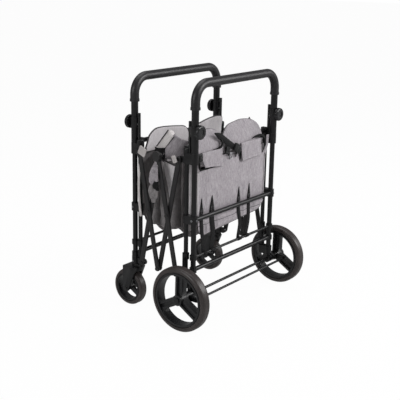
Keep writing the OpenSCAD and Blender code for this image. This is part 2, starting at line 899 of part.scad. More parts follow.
module end_panel(v) {
  color(cloth_grey)
    upright_sheet(v, cloth_t) {
      translate([-panel_w / 2, panel_bottom_z + panel_corner_r])
        square([panel_w, panel_top_z - panel_bottom_z - panel_corner_r]);
      translate([-panel_w / 2 + panel_corner_r, panel_bottom_z])
        square([panel_w - 2 * panel_corner_r, panel_corner_r + over]);
      for (s = [-1, 1])
        translate([s * (panel_w / 2 - panel_corner_r), panel_bottom_z + panel_corner_r])
          circle(r=panel_corner_r);
    }
}

module head_panels(v, w, top_z) {
  head_z0 = panel_top_z + head_gap;
  color(cloth_pale)
    both_sides()
      translate([(w + head_gap) / 2, v + head_t / 2, head_z0])
        pad(w, top_z - head_z0, head_t, head_corner_r, 0);
}

// Left and right edges of the flaps, as shares of the panel's width
flap_edge_shares = [[-0.474, -0.19], [0.101, 0.411]];
flap_top_z = 629;
flap_lift = 5;
flap_lift_shares = [[0, 0], [0.45, 0.15], [1, 1]];

// Two flaps sewn along their upper edges, lifting off the panel towards the lower ones
module rear_flaps() {
  v = panel_v - seat_gap - cloth_t / 2;
  points = [for (p = flap_lift_shares) [flap_top_z - p[0] * flap_h, v - p[1] * flap_lift]];
  profile = [for (p = band(fold_line(points), cloth_t)) [p[1], p[0]]];
  color(cloth_grey)
    rear_end() for (edge = flap_edge_shares)
      across(edge[0] * panel_w, edge[1] * panel_w) polygon(profile);
}

module end_backrest() {
  color(cloth_pale)
    translate([0, back_v + backrest_t / 2, back_z0])
      pad(back_w, back_z1 - back_z0, backrest_t, back_corner_r, 3);
}

// Seat pad folded up against the backrest, over the rod that it swings on
module seat_pad() {
  color(cloth_pale)
    translate([0, seat_v, seat_hinge_z]) {
      rod_x(hinge_rod_d, -seat_w / 2, seat_w / 2);
      translate([0, 0, hinge_rod_d / 2 + fit]) pad(seat_w, seat_depth, seat_t, seat_corner_r, 3);
    }
}

wall_t = 3;
wall_inset = 42;
wall_x = half_w - wall_inset;
wall_lift = 18;
wall_z0 = panel_bottom_z + wall_lift;
wall_z1 = panel_top_z;
wall_v0 = panel_v + cloth_t + seat_gap;
// Places along a side wall, and how far it stands out (negative) or folds in there
wall_fold_shares = [
  [0, 0], [0.2, 0], [0.3, -0.45], [0.4, 0.5], [0.5, -0.5], [0.59, 0.5], [0.69, -0.4], [0.8, 0], [1, 0]
];
roll_d = 38;
roll_inset = 21;
roll_x = half_w - roll_inset;
roll_y = [40, -28];
roll_z = [616, 676];

// Side wall in folds, with the padded roll of its upper edge bent up beside the middle pivot
module side_walls() {
  y0 = y_rear + wall_v0;
  y1 = y_front - wall_v0;
  points = [for (p = wall_fold_shares) [y0 + p[0] * (y1 - y0), wall_x - p[1] * fold_depth]];
  plan = [for (p = band(fold_line(points), wall_t)) [p[1], p[0]]];
  lean = atan2(roll_y[0] - roll_y[1], roll_z[1] - roll_z[0]);
  reach = norm([roll_y[1] - roll_y[0], roll_z[1] - roll_z[0]]);
  color(cloth_grey)
    both_sides() {
      translate([0, 0, wall_z0]) linear_extrude(wall_z1 - wall_z0) polygon(plan);
      translate([roll_x, y_mid + roll_y[0], roll_z[0]]) rotate([lean, 0, 0]) {
        cylinder(d=roll_d, h=reach);
        for (z = [0, reach])
          translate([0, 0, z]) sphere(d=roll_d);
      }
    }
}

floor_inset = 72;
floor_w = frame_w - 2 * floor_inset;
floor_lift = 10;
floor_z = panel_bottom_z + floor_lift;
floor_sag = 36;
floor_fold_shares = [[0, 0], [0.25, 1], [0.5, 0.1], [0.75, 1], [1, 0]];

// Floor of the tub, hanging in two folds between the end panels
module floor_panel() {
  y0 = y_rear + wall_v0 + seat_gap;
  y1 = y_front - wall_v0 - seat_gap;
  points = [for (p = floor_fold_shares) [y0 + p[0] * (y1 - y0), floor_z - p[1] * floor_sag]];
  color(cloth_grey)
    across(-floor_w / 2, floor_w / 2) polygon(band(fold_line(points), cloth_t));
}

strap_place_shares = [-0.457, -0.308, 0.096, 0.26];
strap_top_z = 458;
strap_turn_z = 330;

// Webbing straps down the rear panel, behind the middle bar and round the thin bar
module rear_straps() {
  loop_r = thin_r + seat_gap;
  color(web_black)
    rear_end() for (share = strap_place_shares)
      across(share * panel_w - strap_w / 2, share * panel_w + strap_w / 2) {
        polygon([
          [strap_v, strap_top_z],
          [strap_v + strap_t, strap_top_z],
          [strap_v + strap_t, strap_turn_z],
          [loop_r + strap_t, thin_bar_z],
          [loop_r, thin_bar_z],
          [strap_v, strap_turn_z]
        ]);
        translate([0, thin_bar_z]) difference() {
          circle(r=loop_r + strap_t);
          circle(r=loop_r);
        }
      }
}

fold_strap_shares = [-0.24, -0.034];
fold_strap_z = [688, 640];
fold_strap_top = [fold_strap_shares[0] * panel_w, fold_strap_z[0]];
fold_strap_low = [fold_strap_shares[1] * panel_w, fold_strap_z[1]];
fold_strap_w = 25;
buckle_w = 46;
buckle_h = 34;
buckle_t = 9;

// Strap over the head panels that keeps the wagon folded, with its side-release buckle
module fold_strap() {
  run = fold_strap_low - fold_strap_top;
  v1 = panel_v - seat_gap;
  color(web_black)
    rear_end() {
      translate([fold_strap_top[0], v1, fold_strap_top[1]])
        rotate([0, -atan2(run[1], run[0]), 0])
          translate([0, -strap_t, -fold_strap_w / 2]) cube([norm(run), strap_t, fold_strap_w]);
      translate([fold_strap_low[0], v1 - strap_t - fit - buckle_t, fold_strap_low[1] - buckle_h])
        cube([buckle_w, buckle_t, buckle_h + fold_strap_w / 2]);
    }
}

// Placing

rear_end() end_posts(rear_post_z0 + fit);  // rear_posts
rear_end() end_inner_posts(rear_inner_gap, rear_post_z0 + fit);  // rear_inner_posts
rear_end() end_top_bar(rear_bar_v);  // rear_top_bar
rear_end() end_cross_bars();  // rear_cross_bars
rear_end() end_top_brackets(rear_inner_gap, 0, rear_bar_v);  // rear_top_brackets
rear_end() end_mid_brackets(rear_inner_gap);  // rear_mid_brackets
rear_axle_brackets();
rear_axle();
front_end() end_posts(front_post_z0 + fit);  // front_posts
front_end() end_inner_posts(front_inner_gap, front_inner_z0 + fit);  // front_inner_posts
front_end() end_top_bar(front_bar_v);  // front_top_bar
front_end() end_cross_bars();  // front_cross_bars
front_end() end_top_brackets(front_inner_gap, 1, front_bar_v);  // front_top_brackets
front_end() end_mid_brackets(front_inner_gap);  // front_mid_brackets
caster_housings();
rear_end() handle_tube();  // rear_handle_tube
rear_end() handle_grip();  // rear_handle_grip
front_end() handle_tube();  // front_handle_tube
front_end() handle_grip();  // front_handle_grip
rear_end() on_left() clamp_knob();  // rear_knob_left
rear_end() clamp_knob();  // rear_knob_right
front_end() on_left() clamp_knob();  // front_knob_left
front_end() clamp_knob();  // front_knob_right
on_left() rear_hung_link();  // rear_hung_link_left
on_left() rear_carriage_link();  // rear_carriage_link_left
rear_end() on_left() carriage(rear_inner_gap, 1);  // rear_carriage_left
on_left() front_hung_link();  // front_hung_link_left
on_left() front_carriage_link();  // front_carriage_link_left
front_end() on_left() carriage(front_inner_gap, 0);  // front_carriage_left
rear_hung_link();  // rear_hung_link_right
rear_carriage_link();  // rear_carriage_link_right
rear_end() carriage(rear_inner_gap, 1);  // rear_carriage_right
front_hung_link();  // front_hung_link_right
front_carriage_link();  // front_carriage_link_right
front_end() carriage(front_inner_gap, 0);  // front_carriage_right
on_left() at_rear_wheel() rear_rim();  // rear_rim_left
on_left() at_rear_wheel() wheel_tyre(wheel_r, tyre_w, tyre_t);  // rear_tyre_left
at_rear_wheel() rear_rim();  // rear_rim_right
at_rear_wheel() wheel_tyre(wheel_r, tyre_w, tyre_t);  // rear_tyre_right
brake_levers();
brake_foot_bar();
front_end() on_left() caster_fork();  // caster_fork_left
on_left() at_caster_wheel() caster_rim();  // caster_rim_left
on_left() at_caster_wheel() wheel_tyre(caster_r, caster_w, caster_tyre_t);  // caster_tyre_left
front_end() caster_fork();  // caster_fork_right
at_caster_wheel() caster_rim();  // caster_rim_right
at_caster_wheel() wheel_tyre(caster_r, caster_w, caster_tyre_t);  // caster_tyre_right
rear_end() end_panel(panel_v);  // rear_panel
rear_flaps();
rear_end() head_panels(panel_v, rear_head_w, rear_head_top_z);  // rear_head_panels
rear_end() end_backrest();  // rear_backrest
rear_end() seat_pad();  // rear_seat_pad
front_end() end_panel(panel_v);  // front_panel
front_end() head_panels(front_head_v, front_head_w, front_head_top_z);  // front_head_panels
front_end() end_backrest();  // front_backrest
front_end() seat_pad();  // front_seat_pad
side_walls();
floor_panel();
rear_straps();
fold_strap();
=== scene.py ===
import bpy
import bmesh
import json
import math
from mathutils import Matrix, Vector, noise
from mathutils.bvhtree import BVHTree


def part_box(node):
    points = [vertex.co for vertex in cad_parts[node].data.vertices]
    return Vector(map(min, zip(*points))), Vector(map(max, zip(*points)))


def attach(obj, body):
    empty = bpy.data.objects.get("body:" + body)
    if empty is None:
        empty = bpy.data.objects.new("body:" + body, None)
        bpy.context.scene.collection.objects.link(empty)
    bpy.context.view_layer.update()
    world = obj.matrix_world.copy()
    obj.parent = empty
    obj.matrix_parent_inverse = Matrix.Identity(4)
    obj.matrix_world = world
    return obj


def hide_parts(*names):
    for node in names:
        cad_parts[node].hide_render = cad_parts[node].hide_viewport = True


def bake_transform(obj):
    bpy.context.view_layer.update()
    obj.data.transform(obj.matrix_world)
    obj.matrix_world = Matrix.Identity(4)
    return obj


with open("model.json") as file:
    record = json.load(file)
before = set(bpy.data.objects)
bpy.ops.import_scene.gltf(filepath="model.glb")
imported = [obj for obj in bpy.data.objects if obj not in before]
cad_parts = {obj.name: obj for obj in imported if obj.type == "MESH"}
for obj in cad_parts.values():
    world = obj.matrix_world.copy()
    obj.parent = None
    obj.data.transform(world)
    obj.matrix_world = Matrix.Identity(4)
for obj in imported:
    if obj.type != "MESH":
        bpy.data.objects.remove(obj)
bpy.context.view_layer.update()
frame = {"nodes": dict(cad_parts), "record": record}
scene = bpy.context.scene
nodes = frame["nodes"]
behaviour = frame["record"]["behaviour"]
bodyOf = {n: b for b, names in behaviour["bodies"].items() for n in names}
mm = 0.001  # sizes below are written in millimetres
print("stage: frame loaded,", len(nodes), "nodes")


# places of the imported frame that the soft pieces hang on, in millimetres
def middleOf(name):
    low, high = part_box(name)
    return (low + high) / 2 / mm


place = {
    "rearY": middleOf("rear_posts").y,  # line of the rear posts
    "frontY": middleOf("front_posts").y,  # line of the front posts
    "midY": middleOf("rear_carriage_link_left").y * 0.5 + middleOf("front_carriage_link_left").y * 0.5,
    "innerX": 247,  # inner posts, out from the middle
    "panelV": 12.6,  # middle of an end panel, inwards from its posts
    "panelLow": 318,
    "panelTop": 602,
    "thinBarZ": 257,
}


def fromRear(x, v, z):
    return Vector((x, place["rearY"] + v, z)) * mm


def fromFront(x, v, z):
    return Vector((x, place["frontY"] - v, z)) * mm


# side is -1 on the left and 1 on the right; x counts outwards and y from the middle
def fromSide(side, x, y, z):
    return Vector((side * x, place["midY"] + y, z)) * mm


ends = {"rear": fromRear, "front": fromFront}
sideOf = {"left": -1, "right": 1}


def smooth(t):
    t = max(0.0, min(1.0, t))
    return t * t * (3 - 2 * t)


# rises from 0 at the start to 1 past it; a negative length goes the other way
def ramp(x, start, over):
    return smooth((x - start) / over)


def bump(x, centre, half):
    return smooth(1 - abs(x - centre) / half)


def between(pair, t):
    return pair[0] + t * (pair[1] - pair[0])


def wrinkle(x, y, z, size, seed=0.0):
    return noise.noise(Vector((x / size, y / size + seed, z / size)))


def tableAt(table, x, ease=False):
    for (a, p), (b, q) in zip(table, table[1:]):
        if a <= x <= b:
            t = (x - a) / (b - a)
            return p + (q - p) * (smooth(t) if ease else t)
    return table[0][1] if x < table[0][0] else table[-1][1]


def placed(name, data):
    thing = bpy.data.objects.new(name, data)
    scene.collection.objects.link(thing)
    return thing


# camera, at the angle the wagon is seen from; its place is measured from the middle of the rear posts' feet
cameraSet = {"lens": 73.356, "sensor": 36, "place": (-2.4125, -1.692, 1.2522), "turn": 52.429, "tilt": 15.86,
             "roll": 0.964}


def addCamera(own):
    turn, tilt, roll = (math.radians(own[k]) for k in ("turn", "tilt", "roll"))
    ahead = Vector((math.sin(turn) * math.cos(tilt), math.cos(turn) * math.cos(tilt), -math.sin(tilt)))
    level = Vector((math.cos(turn), -math.sin(turn), 0))
    upright = level.cross(ahead)
    right = math.cos(roll) * level + math.sin(roll) * upright
    up = -math.sin(roll) * level + math.cos(roll) * upright
    data = bpy.data.cameras.new("camera")
    data.lens = own["lens"]
    data.sensor_width = own["sensor"]
    x, y, z = own["place"]
    scene.camera = placed("camera", data)
    scene.camera.matrix_world = Matrix((
        (right.x, up.x, -ahead.x, x),
        (right.y, up.y, -ahead.y, y + place["rearY"] * mm),
        (right.z, up.z, -ahead.z, z),
        (0, 0, 0, 1),
    ))


addCamera(cameraSet)
scene.view_settings.view_transform = "Standard"
print("stage: camera set")


# materials
def linear(hexText):
    values = [int(hexText[i:i + 2], 16) / 255 for i in (1, 3, 5)]
    return tuple(c / 12.92 if c <= 0.04045 else ((c + 0.055) / 1.055) ** 2.4 for c in values) + (1.0,)


# gives a function that adds nodes to a tree; sockets are numbered or start with a capital, other settings don't
def adderOf(tree, family="ShaderNode"):
    def add(kind, settings=None, links=None):
        node = tree.nodes.new(kind if "Node" in kind else family + kind)
        for key, value in (settings or {}).items():
            if isinstance(key, int) or key[0].isupper():
                node.inputs[key].default_value = value
            else:
                setattr(node, key, value)
        for key, (source, out) in (links or {}).items():
            tree.links.new(source.outputs[out], node.inputs[key])
        return node
    return add


def newMaterial(name):
    material = bpy.data.materials.new(name)
    material.use_nodes = True
    material.node_tree.nodes.clear()
    return material, adderOf(material.node_tree)


def blotches(add, source, sizeMm, detail):
    return add("TexNoise", {"Scale": 1 / (sizeMm * mm), "Detail": detail}, {"Vector": source})


def waves(add, source, way, pitchMm):
    onePerUnit = 0.314
    return add("TexWave", {"bands_direction": way, "Scale": onePerUnit / (pitchMm * mm)}, {"Vector": source})


def tintOf(add, dark, pale, share):
    return add("Mix", {"data_type": "RGBA", 6: linear(dark), 7: linear(pale)}, {0: (share, 0)})


def mapped(add, source, low, high, start=0.0, end=1.0):
    limits = {"From Min": start, "From Max": end, "To Min": low, "To Max": high}
    return add("MapRange", limits, {"Value": source})


def addUp(add, one, share, other):
    return add("Math", {"operation": "MULTIPLY_ADD", 1: share}, {0: (one, 0), 2: other})


def reliefOf(add, height, strength, depthMm):
    return add("Bump", {"Strength": strength, "Distance": depthMm * mm}, {"Height": (height, 0)})


def finished(material, add, settings, links):
    shader = add("BsdfPrincipled", settings, links)
    add("OutputMaterial", links={"Surface": (shader, 0)})
    return material


# Moulded or coated black parts: a slightly mottled colour, a fine grain and a roughness that wanders a little
def grainMaterial(name, dark, light, rough, roughSpread, grainMm, grainDepthMm, specular=0.5):
    material, add = newMaterial(name)
    at = (add("TexCoord"), "Object")
    mottle = blotches(add, at, 34, 3.0)
    grain = blotches(add, at, grainMm, 2.0)
    tint = tintOf(add, dark, light, mottle)
    wander = mapped(add, (mottle, 0), rough - roughSpread, rough + roughSpread)
    relief = reliefOf(add, grain, 0.5, grainDepthMm)
    return finished(material, add, {"Specular IOR Level": specular},
                    {"Base Color": (tint, 2), "Roughness": (wander, 0), "Normal": (relief, 0)})


# Powder-coated steel: satin black with a faint orange peel of about a millimetre
powderCoat = grainMaterial("powder_coated_steel", "#0c0c0e", "#131315", 0.31, 0.05, 1.1, 0.02)
# The scissor links' coat: duller and greyer than the posts'; its paler grey is painted light, for the fill light
# on the links' broad faces
linkCoat = grainMaterial("powder_coated_links", "#1b1a1b", "#292829", 0.42, 0.06, 1.1, 0.02)
# Glass-filled nylon, moulded with a fine spark-eroded grain: matt black, pale at grazing angles
mouldedNylon = grainMaterial("moulded_nylon", "#0c0c0e", "#131315", 0.30, 0.06, 0.9, 0.03)
# Polished nylon of the clamp knobs: charcoal with a clear highlight
knobNylon = grainMaterial("polished_nylon", "#1b1b1d", "#262628", 0.20, 0.04, 0.9, 0.02)
# Closed-cell foam sleeve: charcoal, soft wide highlight, tiny cells
foamSleeve = grainMaterial("foam_sleeve", "#1c1b1d", "#272628", 0.40, 0.06, 1.4, 0.08)
# Moulded rubber tyre: warm charcoal, dull, with dusty patches
tyreRubber = grainMaterial("tyre_rubber", "#2a2625", "#484140", 0.37, 0.08, 1.6, 0.05)
# Polypropylene wheel rim: greyer than the brackets
rimPlastic = grainMaterial("moulded_polypropylene", "#18181a", "#232325", 0.34, 0.05, 1.2, 0.02)
# Grey nylon end caps of the hung links
greyNylon = grainMaterial("grey_nylon", "#b2adac", "#c6c1c0", 0.5, 0.06, 0.9, 0.05)
# Acetal buckle: even black with a mild shine
buckleAcetal = grainMaterial("acetal_buckle", "#101012", "#18181a", 0.36, 0.05, 0.8, 0.03)


# Zinc-plated steel: pale grey metal, slightly cloudy
def zincMaterial():
    material, add = newMaterial("zinc_plated_steel")
    cloud = blotches(add, (add("TexCoord"), "Object"), 5, 4.0)
    tint = tintOf(add, "#8e8f92", "#b3b4b6", cloud)
    rough = mapped(add, (cloud, 0), 0.25, 0.45)
    return finished(material, add, {"Metallic": 1.0}, {"Base Color": (tint, 2), "Roughness": (rough, 0)})


zincSteel = zincMaterial()


# Heather polyester: grey yarns of uneven dye lie side by side, so the cloth shows fine streaks along the warp.
# The yarn is about 0.4 mm; streaks are drawn 3 mm wide and the weave 1.5 mm, as coarse as they need to show.
def heatherMaterial(name, dark, pale, sheen=0.18):
    material, add = newMaterial(name)
    uv = (add("UVMap", {"uv_map": "cloth"}), 0)

    def yarns(across, along, detail):
        drawn = add("Mapping", {"Scale": (1 / (across * mm), 1 / (along * mm), 1)}, {"Vector": uv})
        return add("TexNoise", {"Scale": 1.0, "Detail": detail}, {"Vector": (drawn, 0)})

    both = addUp(add, yarns(3.2, 38, 2.0), 0.62, (yarns(1.1, 14, 2.0), 0))
    more = addUp(add, yarns(16, 1.3, 1.0), 0.38, (both, 0))
    tint = tintOf(add, dark, pale, mapped(add, (more, 0), 0.0, 1.0, 0.66, 1.34))
    soil = mapped(add, (blotches(add, uv, 60, 3.0), 0), 0.93, 1.03, 0.3, 0.7)
    final = add("VectorMath", {"operation": "SCALE"}, {0: (tint, 2), "Scale": (soil, 0)})
    crossed = {k: (waves(add, uv, way, 1.5), 1) for k, way in enumerate("XY")}
    weave = add("Math", {"operation": "MULTIPLY"}, crossed)
    normal = reliefOf(add, addUp(add, weave, 0.5, (more, 0)), 0.45, 0.35)
    look = {"Roughness": 0.92, "Specular IOR Level": 0.2, "Sheen Weight": sheen, "Sheen Roughness": 0.5}
    return finished(material, add, look, {"Base Color": (final, 0), "Normal": (normal, 0)})


# Rear end: heather with a faint mauve cast
heatherMauve = heatherMaterial("heather_polyester_mauve", "#787277", "#c1bbc0")
# Front head panels, pads and turned edges: a paler, more neutral grey of the same cloth; on the turned edges and
# the walls' outer folds this paler colour is painted light
heatherPale = heatherMaterial("heather_polyester_pale", "#bfbabd", "#ece8ea")
# Sides and floor: the same cloth painted a shade deeper, as painted shade for the gathered walls, the floor
# between them and the lower sleeve bunches
heatherShaded = heatherMaterial("heather_polyester_shaded", "#666263", "#9b9798")
# Ribbed knit on the arm rolls: paler, brushed
brushedKnit = heatherMaterial("brushed_knit", "#bdb8b8", "#eae5e4", 0.3)
# Binding tape round the edges: dark grey
bindingTape = heatherMaterial("binding_tape", "#3c3b3c", "#545254", 0.1)
# Spun polyester sewing thread
sewingThread = grainMaterial("sewing_thread", "#8b8689", "#a39fa1", 0.75, 0.05, 0.6, 0.05, 0.2)


# Polypropylene webbing: black, ribbed across every 1.6 mm
def webbingMaterial():
    material, add = newMaterial("polypropylene_webbing")
    uv = (add("UVMap", {"uv_map": "cloth"}), 0)
    yarn = blotches(add, uv, 1.2, 2.0)
    tint = tintOf(add, "#0b0b0c", "#19181a", yarn)
    normal = reliefOf(add, addUp(add, yarn, 0.4, (waves(add, uv, "Y", 1.6), 1)), 0.6, 0.3)
    look = {"Roughness": 0.66, "Specular IOR Level": 0.22, "Sheen Weight": 0.03}
    return finished(material, add, look, {"Base Color": (tint, 2), "Normal": (normal, 0)})


webbing = webbingMaterial()
print("stage: materials made")


# mesh helpers
def meshPiece(name, points, faces, material=None, uvs=None, edges=()):
    mesh = bpy.data.meshes.new(name)
    mesh.from_pydata([tuple(p) for p in points], edges, faces)
    if uvs:
        layer = mesh.uv_layers.new(name="cloth")
        for loop in mesh.loops:
            layer.data[loop.index].uv = uvs[loop.vertex_index]
    if material:
        mesh.materials.append(material)
    mesh.shade_smooth()
    return placed(name, mesh)


def edited(mesh, change):
    work = bmesh.new()
    work.from_mesh(mesh)
    change(work)
    work.to_mesh(mesh)
    work.free()


def outwards(piece):
    edited(piece.data, lambda work: bmesh.ops.recalc_face_normals(work, faces=work.faces))


def applied(piece):
    bpy.context.view_layer.update()
    graph = bpy.context.evaluated_depsgraph_get()
    mesh = bpy.data.meshes.new_from_object(piece.evaluated_get(graph))
    mesh.name = piece.name
    piece.modifiers.clear()
    piece.data = mesh
    return piece


def bevelled(piece, width, segments, angle=30):
    bevel = piece.modifiers.new("edges", "BEVEL")
    bevel.width = width * mm
    bevel.segments = segments
    bevel.limit_method = "ANGLE"
    bevel.angle_limit = math.radians(angle)
    applied(piece)
    piece.data.shade_smooth()
    return piece


# the joined piece has the first one's material
def joined(name, pieces):
    work = bmesh.new()
    for piece in pieces:
        work.from_mesh(applied(piece).data)
    mesh = bpy.data.meshes.new(name)
    work.to_mesh(mesh)
    work.free()
    mesh.materials.append(pieces[0].data.materials[0])
    for piece in pieces:
        bpy.data.objects.remove(piece)
    return placed(name, mesh)


# tells what a finished piece moves with and hides the node it stands for
def dress(piece, slot, body=None, node=None):
    if body:
        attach(piece, body)
    if node:
        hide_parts(node)
    return piece


def bothSides(name, make, slot="grey_cloth", body=None, node=None):
    return dress(joined(name, [make(-1), make(1)]), slot, body, node)


# a sheet of cells, so many across and along; put(a, b) gives its place for a and b from 0 to 1
def sheetPiece(name, across, along, put, material, size, thick=2.0):
    points, uvs, faces = [], [], []
    for j in range(along + 1):
        for i in range(across + 1):
            a, b = i / across, j / along
            points.append(put(a, b))
            uvs.append((a * size[0] * mm, b * size[1] * mm))
    for j in range(along):
        for i in range(across):
            k = j * (across + 1) + i
            faces.append((k, k + 1, k + across + 2, k + across + 1))
    piece = meshPiece(name, points, faces, material, uvs)
    solid = piece.modifiers.new("thickness", "SOLIDIFY")
    solid.thickness = thick * mm
    solid.offset = 0
    outwards(applied(piece))
    return piece


# a left and a right sheet as one piece; put(side, a, b) gives their places
def sheetPair(name, put, cells, material, size, thick=2.0, **about):
    def make(side):
        return sheetPiece(f"{name}{side}", *cells, lambda a, b: put(side, a, b), material, size, thick)
    return bothSides(name, make, **about)


# points on a smooth line through the given ones
def smoothLine(points, steps=8):
    pts = [Vector(p) for p in points]
    last = len(pts) - 1
    line = []
    for i in range(last):
        p0, p1, p2, p3 = pts[max(0, i - 1)], pts[i], pts[i + 1], pts[min(last, i + 2)]
        for k in range(steps):
            t = k / steps
            line.append(0.5 * (2 * p1 + (p2 - p0) * t + (2 * p0 - 5 * p1 + 4 * p2 - p3) * t * t
                               + (3 * p1 - 3 * p2 + p3 - p0) * t ** 3))
    return line + [pts[-1]]


# a section, as offsets to the side and upwards, carried along a line; scale(t) widens it along the way
def sweepPiece(name, line, section, up, material, closed=False, scale=None):
    count, corners = len(line), len(section)
    rows, width = count + closed, corners + 1
    points, uvs, faces = [], [], []
    run = 0.0
    girth = [0.0]
    for k in range(corners):
        girth.append(girth[-1] + (Vector(section[(k + 1) % corners]) - Vector(section[k])).length)
    for i in range(rows):
        here = line[i % count]
        if closed:
            ahead, behind = line[(i + 1) % count], line[(i - 1) % count]
        else:
            ahead, behind = line[min(count - 1, i + 1)], line[max(0, i - 1)]
        tangent = (ahead - behind).normalized()
        hint = up(i / (rows - 1)) if callable(up) else Vector(up)
        side = tangent.cross(hint).normalized()
        top = side.cross(tangent).normalized()
        if i:
            run += (here - line[i - 1]).length
        grow = scale(i / (rows - 1)) if scale else (1, 1)
        for k in range(width):
            s = section[k % corners]
            points.append(here + side * s[0] * grow[0] * mm + top * s[1] * grow[1] * mm)
            uvs.append((girth[k] * mm, run))
    for i in range(rows - 1):
        for k in range(corners):
            a = i * width + k
            faces.append((a, a + 1, a + width + 1, a + width))
    if not closed:
        faces.append(tuple(range(corners - 1, -1, -1)))
        faces.append(tuple((rows - 1) * width + k for k in range(corners)))
    piece = meshPiece(name, points, faces, material, uvs)
    edited(piece.data, lambda work: bmesh.ops.remove_doubles(work, verts=work.verts, dist=1e-6))
    outwards(piece)
    return piece


def roundSection(radius, corners=8):
    turns = [2 * math.pi * k / corners for k in range(corners)]
    return [(radius * math.cos(u), radius * math.sin(u)) for u in turns]


def bandSection(width, thick):
    w, t, c = width / 2, thick / 2, thick * 0.3
    return [(-w + c, -t), (w - c, -t), (w, -t + c), (w, t - c), (w - c, t), (-w + c, t), (-w, t - c), (-w, -t + c)]


# a copy of a rigid node with its sharp edges eased, standing for the node
def easedNode(name, material, width):
    def cleaned(work):
        bmesh.ops.remove_doubles(work, verts=work.verts, dist=2e-6)
        bmesh.ops.dissolve_limit(work, angle_limit=math.radians(0.6), verts=work.verts, edges=work.edges)

    mesh = nodes[name].data.copy()
    edited(mesh, cleaned)
    mesh.materials.clear()
    mesh.materials.append(material)
    piece = bevelled(placed(name + "_eased", mesh), width, 3, 38)
    piece.data.set_sharp_from_angle(angle=math.radians(42))
    dress(piece, "black_plastic", bodyOf[name], name)


# Geometry Nodes: a tree with named inputs, run once on a mesh and left as a plain mesh
def newTree(name, inputs):
    tree = bpy.data.node_groups.new(name, "GeometryNodeTree")
    kinds = [("Geometry", "Geometry"), *((label, "Float") for label in inputs), ("Material", "Material")]
    for label, kind in kinds:
        tree.interface.new_socket(label, in_out="INPUT", socket_type="NodeSocket" + kind)
    tree.interface.new_socket("Geometry", in_out="OUTPUT", socket_type="NodeSocketGeometry")
    add = adderOf(tree, "GeometryNode")
    return tree, add, add("NodeGroupInput")


def endTree(add, source, group):
    real = add("RealizeInstances", links={0: (source, 0)})
    even = add("SetShadeSmooth", links={0: (real, 0)})
    done = add("SetMaterial", links={"Geometry": (even, 0), "Material": (group, "Material")})
    add("NodeGroupOutput", links={0: (done, 0)})


def runTree(piece, tree, values):
    modifier = piece.modifiers.new(tree.name, "NODES")
    modifier.node_group = tree
    for item in tree.interface.items_tree:
        if item.in_out == "INPUT" and item.name in values:
            modifier[item.identifier] = values[item.name]
    return applied(piece)


# one stitch every pitch along each edge, laid along the line
def stitchTree():
    tree, add, group = newTree("stitches", ("Pitch", "Length", "Thickness"))
    curve = add("MeshToCurve", links={0: (group, "Geometry")})
    pitch = (group, "Pitch")
    even = add("ResampleCurve", {"mode": "LENGTH"}, {"Curve": (curve, 0), "Length": pitch})
    tangent = add("InputTangent")
    turn = add("FunctionNodeAlignRotationToVector", {"axis": "X"}, {"Vector": (tangent, 0)})
    sizes = enumerate(("Length", "Thickness", "Thickness"))
    size = add("ShaderNodeCombineXYZ", links={k: (group, label) for k, label in sizes})
    bead = add("MeshUVSphere", {"Segments": 8, "Rings": 5, "Radius": 0.5})
    put = add("InstanceOnPoints",
              links={"Points": (even, 0), "Instance": (bead, 0), "Rotation": (turn, 0), "Scale": (size, 0)})
    endTree(add, put, group)
    return tree


# one button-head screw with a six-sided recess at each point, along the point's axis
def screwTree():
    tree, add, group = newTree("screws", ("Radius", "Height", "Recess"))

    def times(label, share):
        return add("ShaderNodeMath", {"operation": "MULTIPLY", 1: share}, {0: (group, label)})

    def disc(vertices, radius, lift=0.0):
        depth = (group, "Height")
        flat = add("MeshCylinder", {"Vertices": vertices}, {"Radius": radius, "Depth": depth})
        up = add("ShaderNodeCombineXYZ", links={2: (times("Height", lift), 0)})
        return add("Transform", links={"Geometry": (flat, 0), "Translation": (up, 0)})

    both = add("MeshBoolean", {"operation": "UNION"})
    for part in (disc(24, (group, "Radius")), disc(24, (times("Radius", 0.78), 0), 0.4)):
        tree.links.new(part.outputs[0], both.inputs[1])
    key = disc(6, (group, "Recess"), 0.7)
    bored = add("MeshBoolean", {"operation": "DIFFERENCE"}, {0: (both, 0), 1: (key, 0)})
    axis = add("InputNamedAttribute", {"data_type": "FLOAT_VECTOR", "Name": "axis"})
    turn = add("FunctionNodeAlignRotationToVector", {"axis": "Z"}, {"Vector": (axis, 0)})
    put = add("InstanceOnPoints",
              links={"Points": (group, "Geometry"), "Instance": (bored, 0), "Rotation": (turn, 0)})
    endTree(add, put, group)
    return tree


sewn = {"rear_frame": [], "front_frame": []}  # lines to sew along, by body
sewing = {"Pitch": 4.2 * mm, "Length": 3.1 * mm, "Thickness": 0.9 * mm, "Material": sewingThread}

# rigid pieces, by words in their names: how far moulded edges are eased, and what is bare coated steel
rigid = {
    "edge": {"fork": 3.0, "knob": 2.0, "top_brackets": 2.2, "mid_brackets": 1.8, "axle_brackets": 2.2,
             "housings": 2.6, "carriage": 1.6, "lever": 1.5, "rim": 1.6},
    "painted": {"_link_": linkCoat, "tyre": tyreRubber, "grip": foamSleeve},
    "steel": ("posts", "bar", "axle", "tube"),
}


def named(table, name):
    return next((value for word, value in table.items() if word in name), None)


def paint(name, material):
    mesh = nodes[name].data
    mesh.materials.clear()
    mesh.materials.append(material)


for name in nodes:
    coat, width = named(rigid["painted"], name), named(rigid["edge"], name)
    if coat:
        paint(name, coat)
    elif width:
        easedNode(name, named({"rim": rimPlastic, "knob": knobNylon}, name) or mouldedNylon, width)
    elif any(word in name for word in rigid["steel"]):
        paint(name, powderCoat)
print("stage: rigid pieces finished")

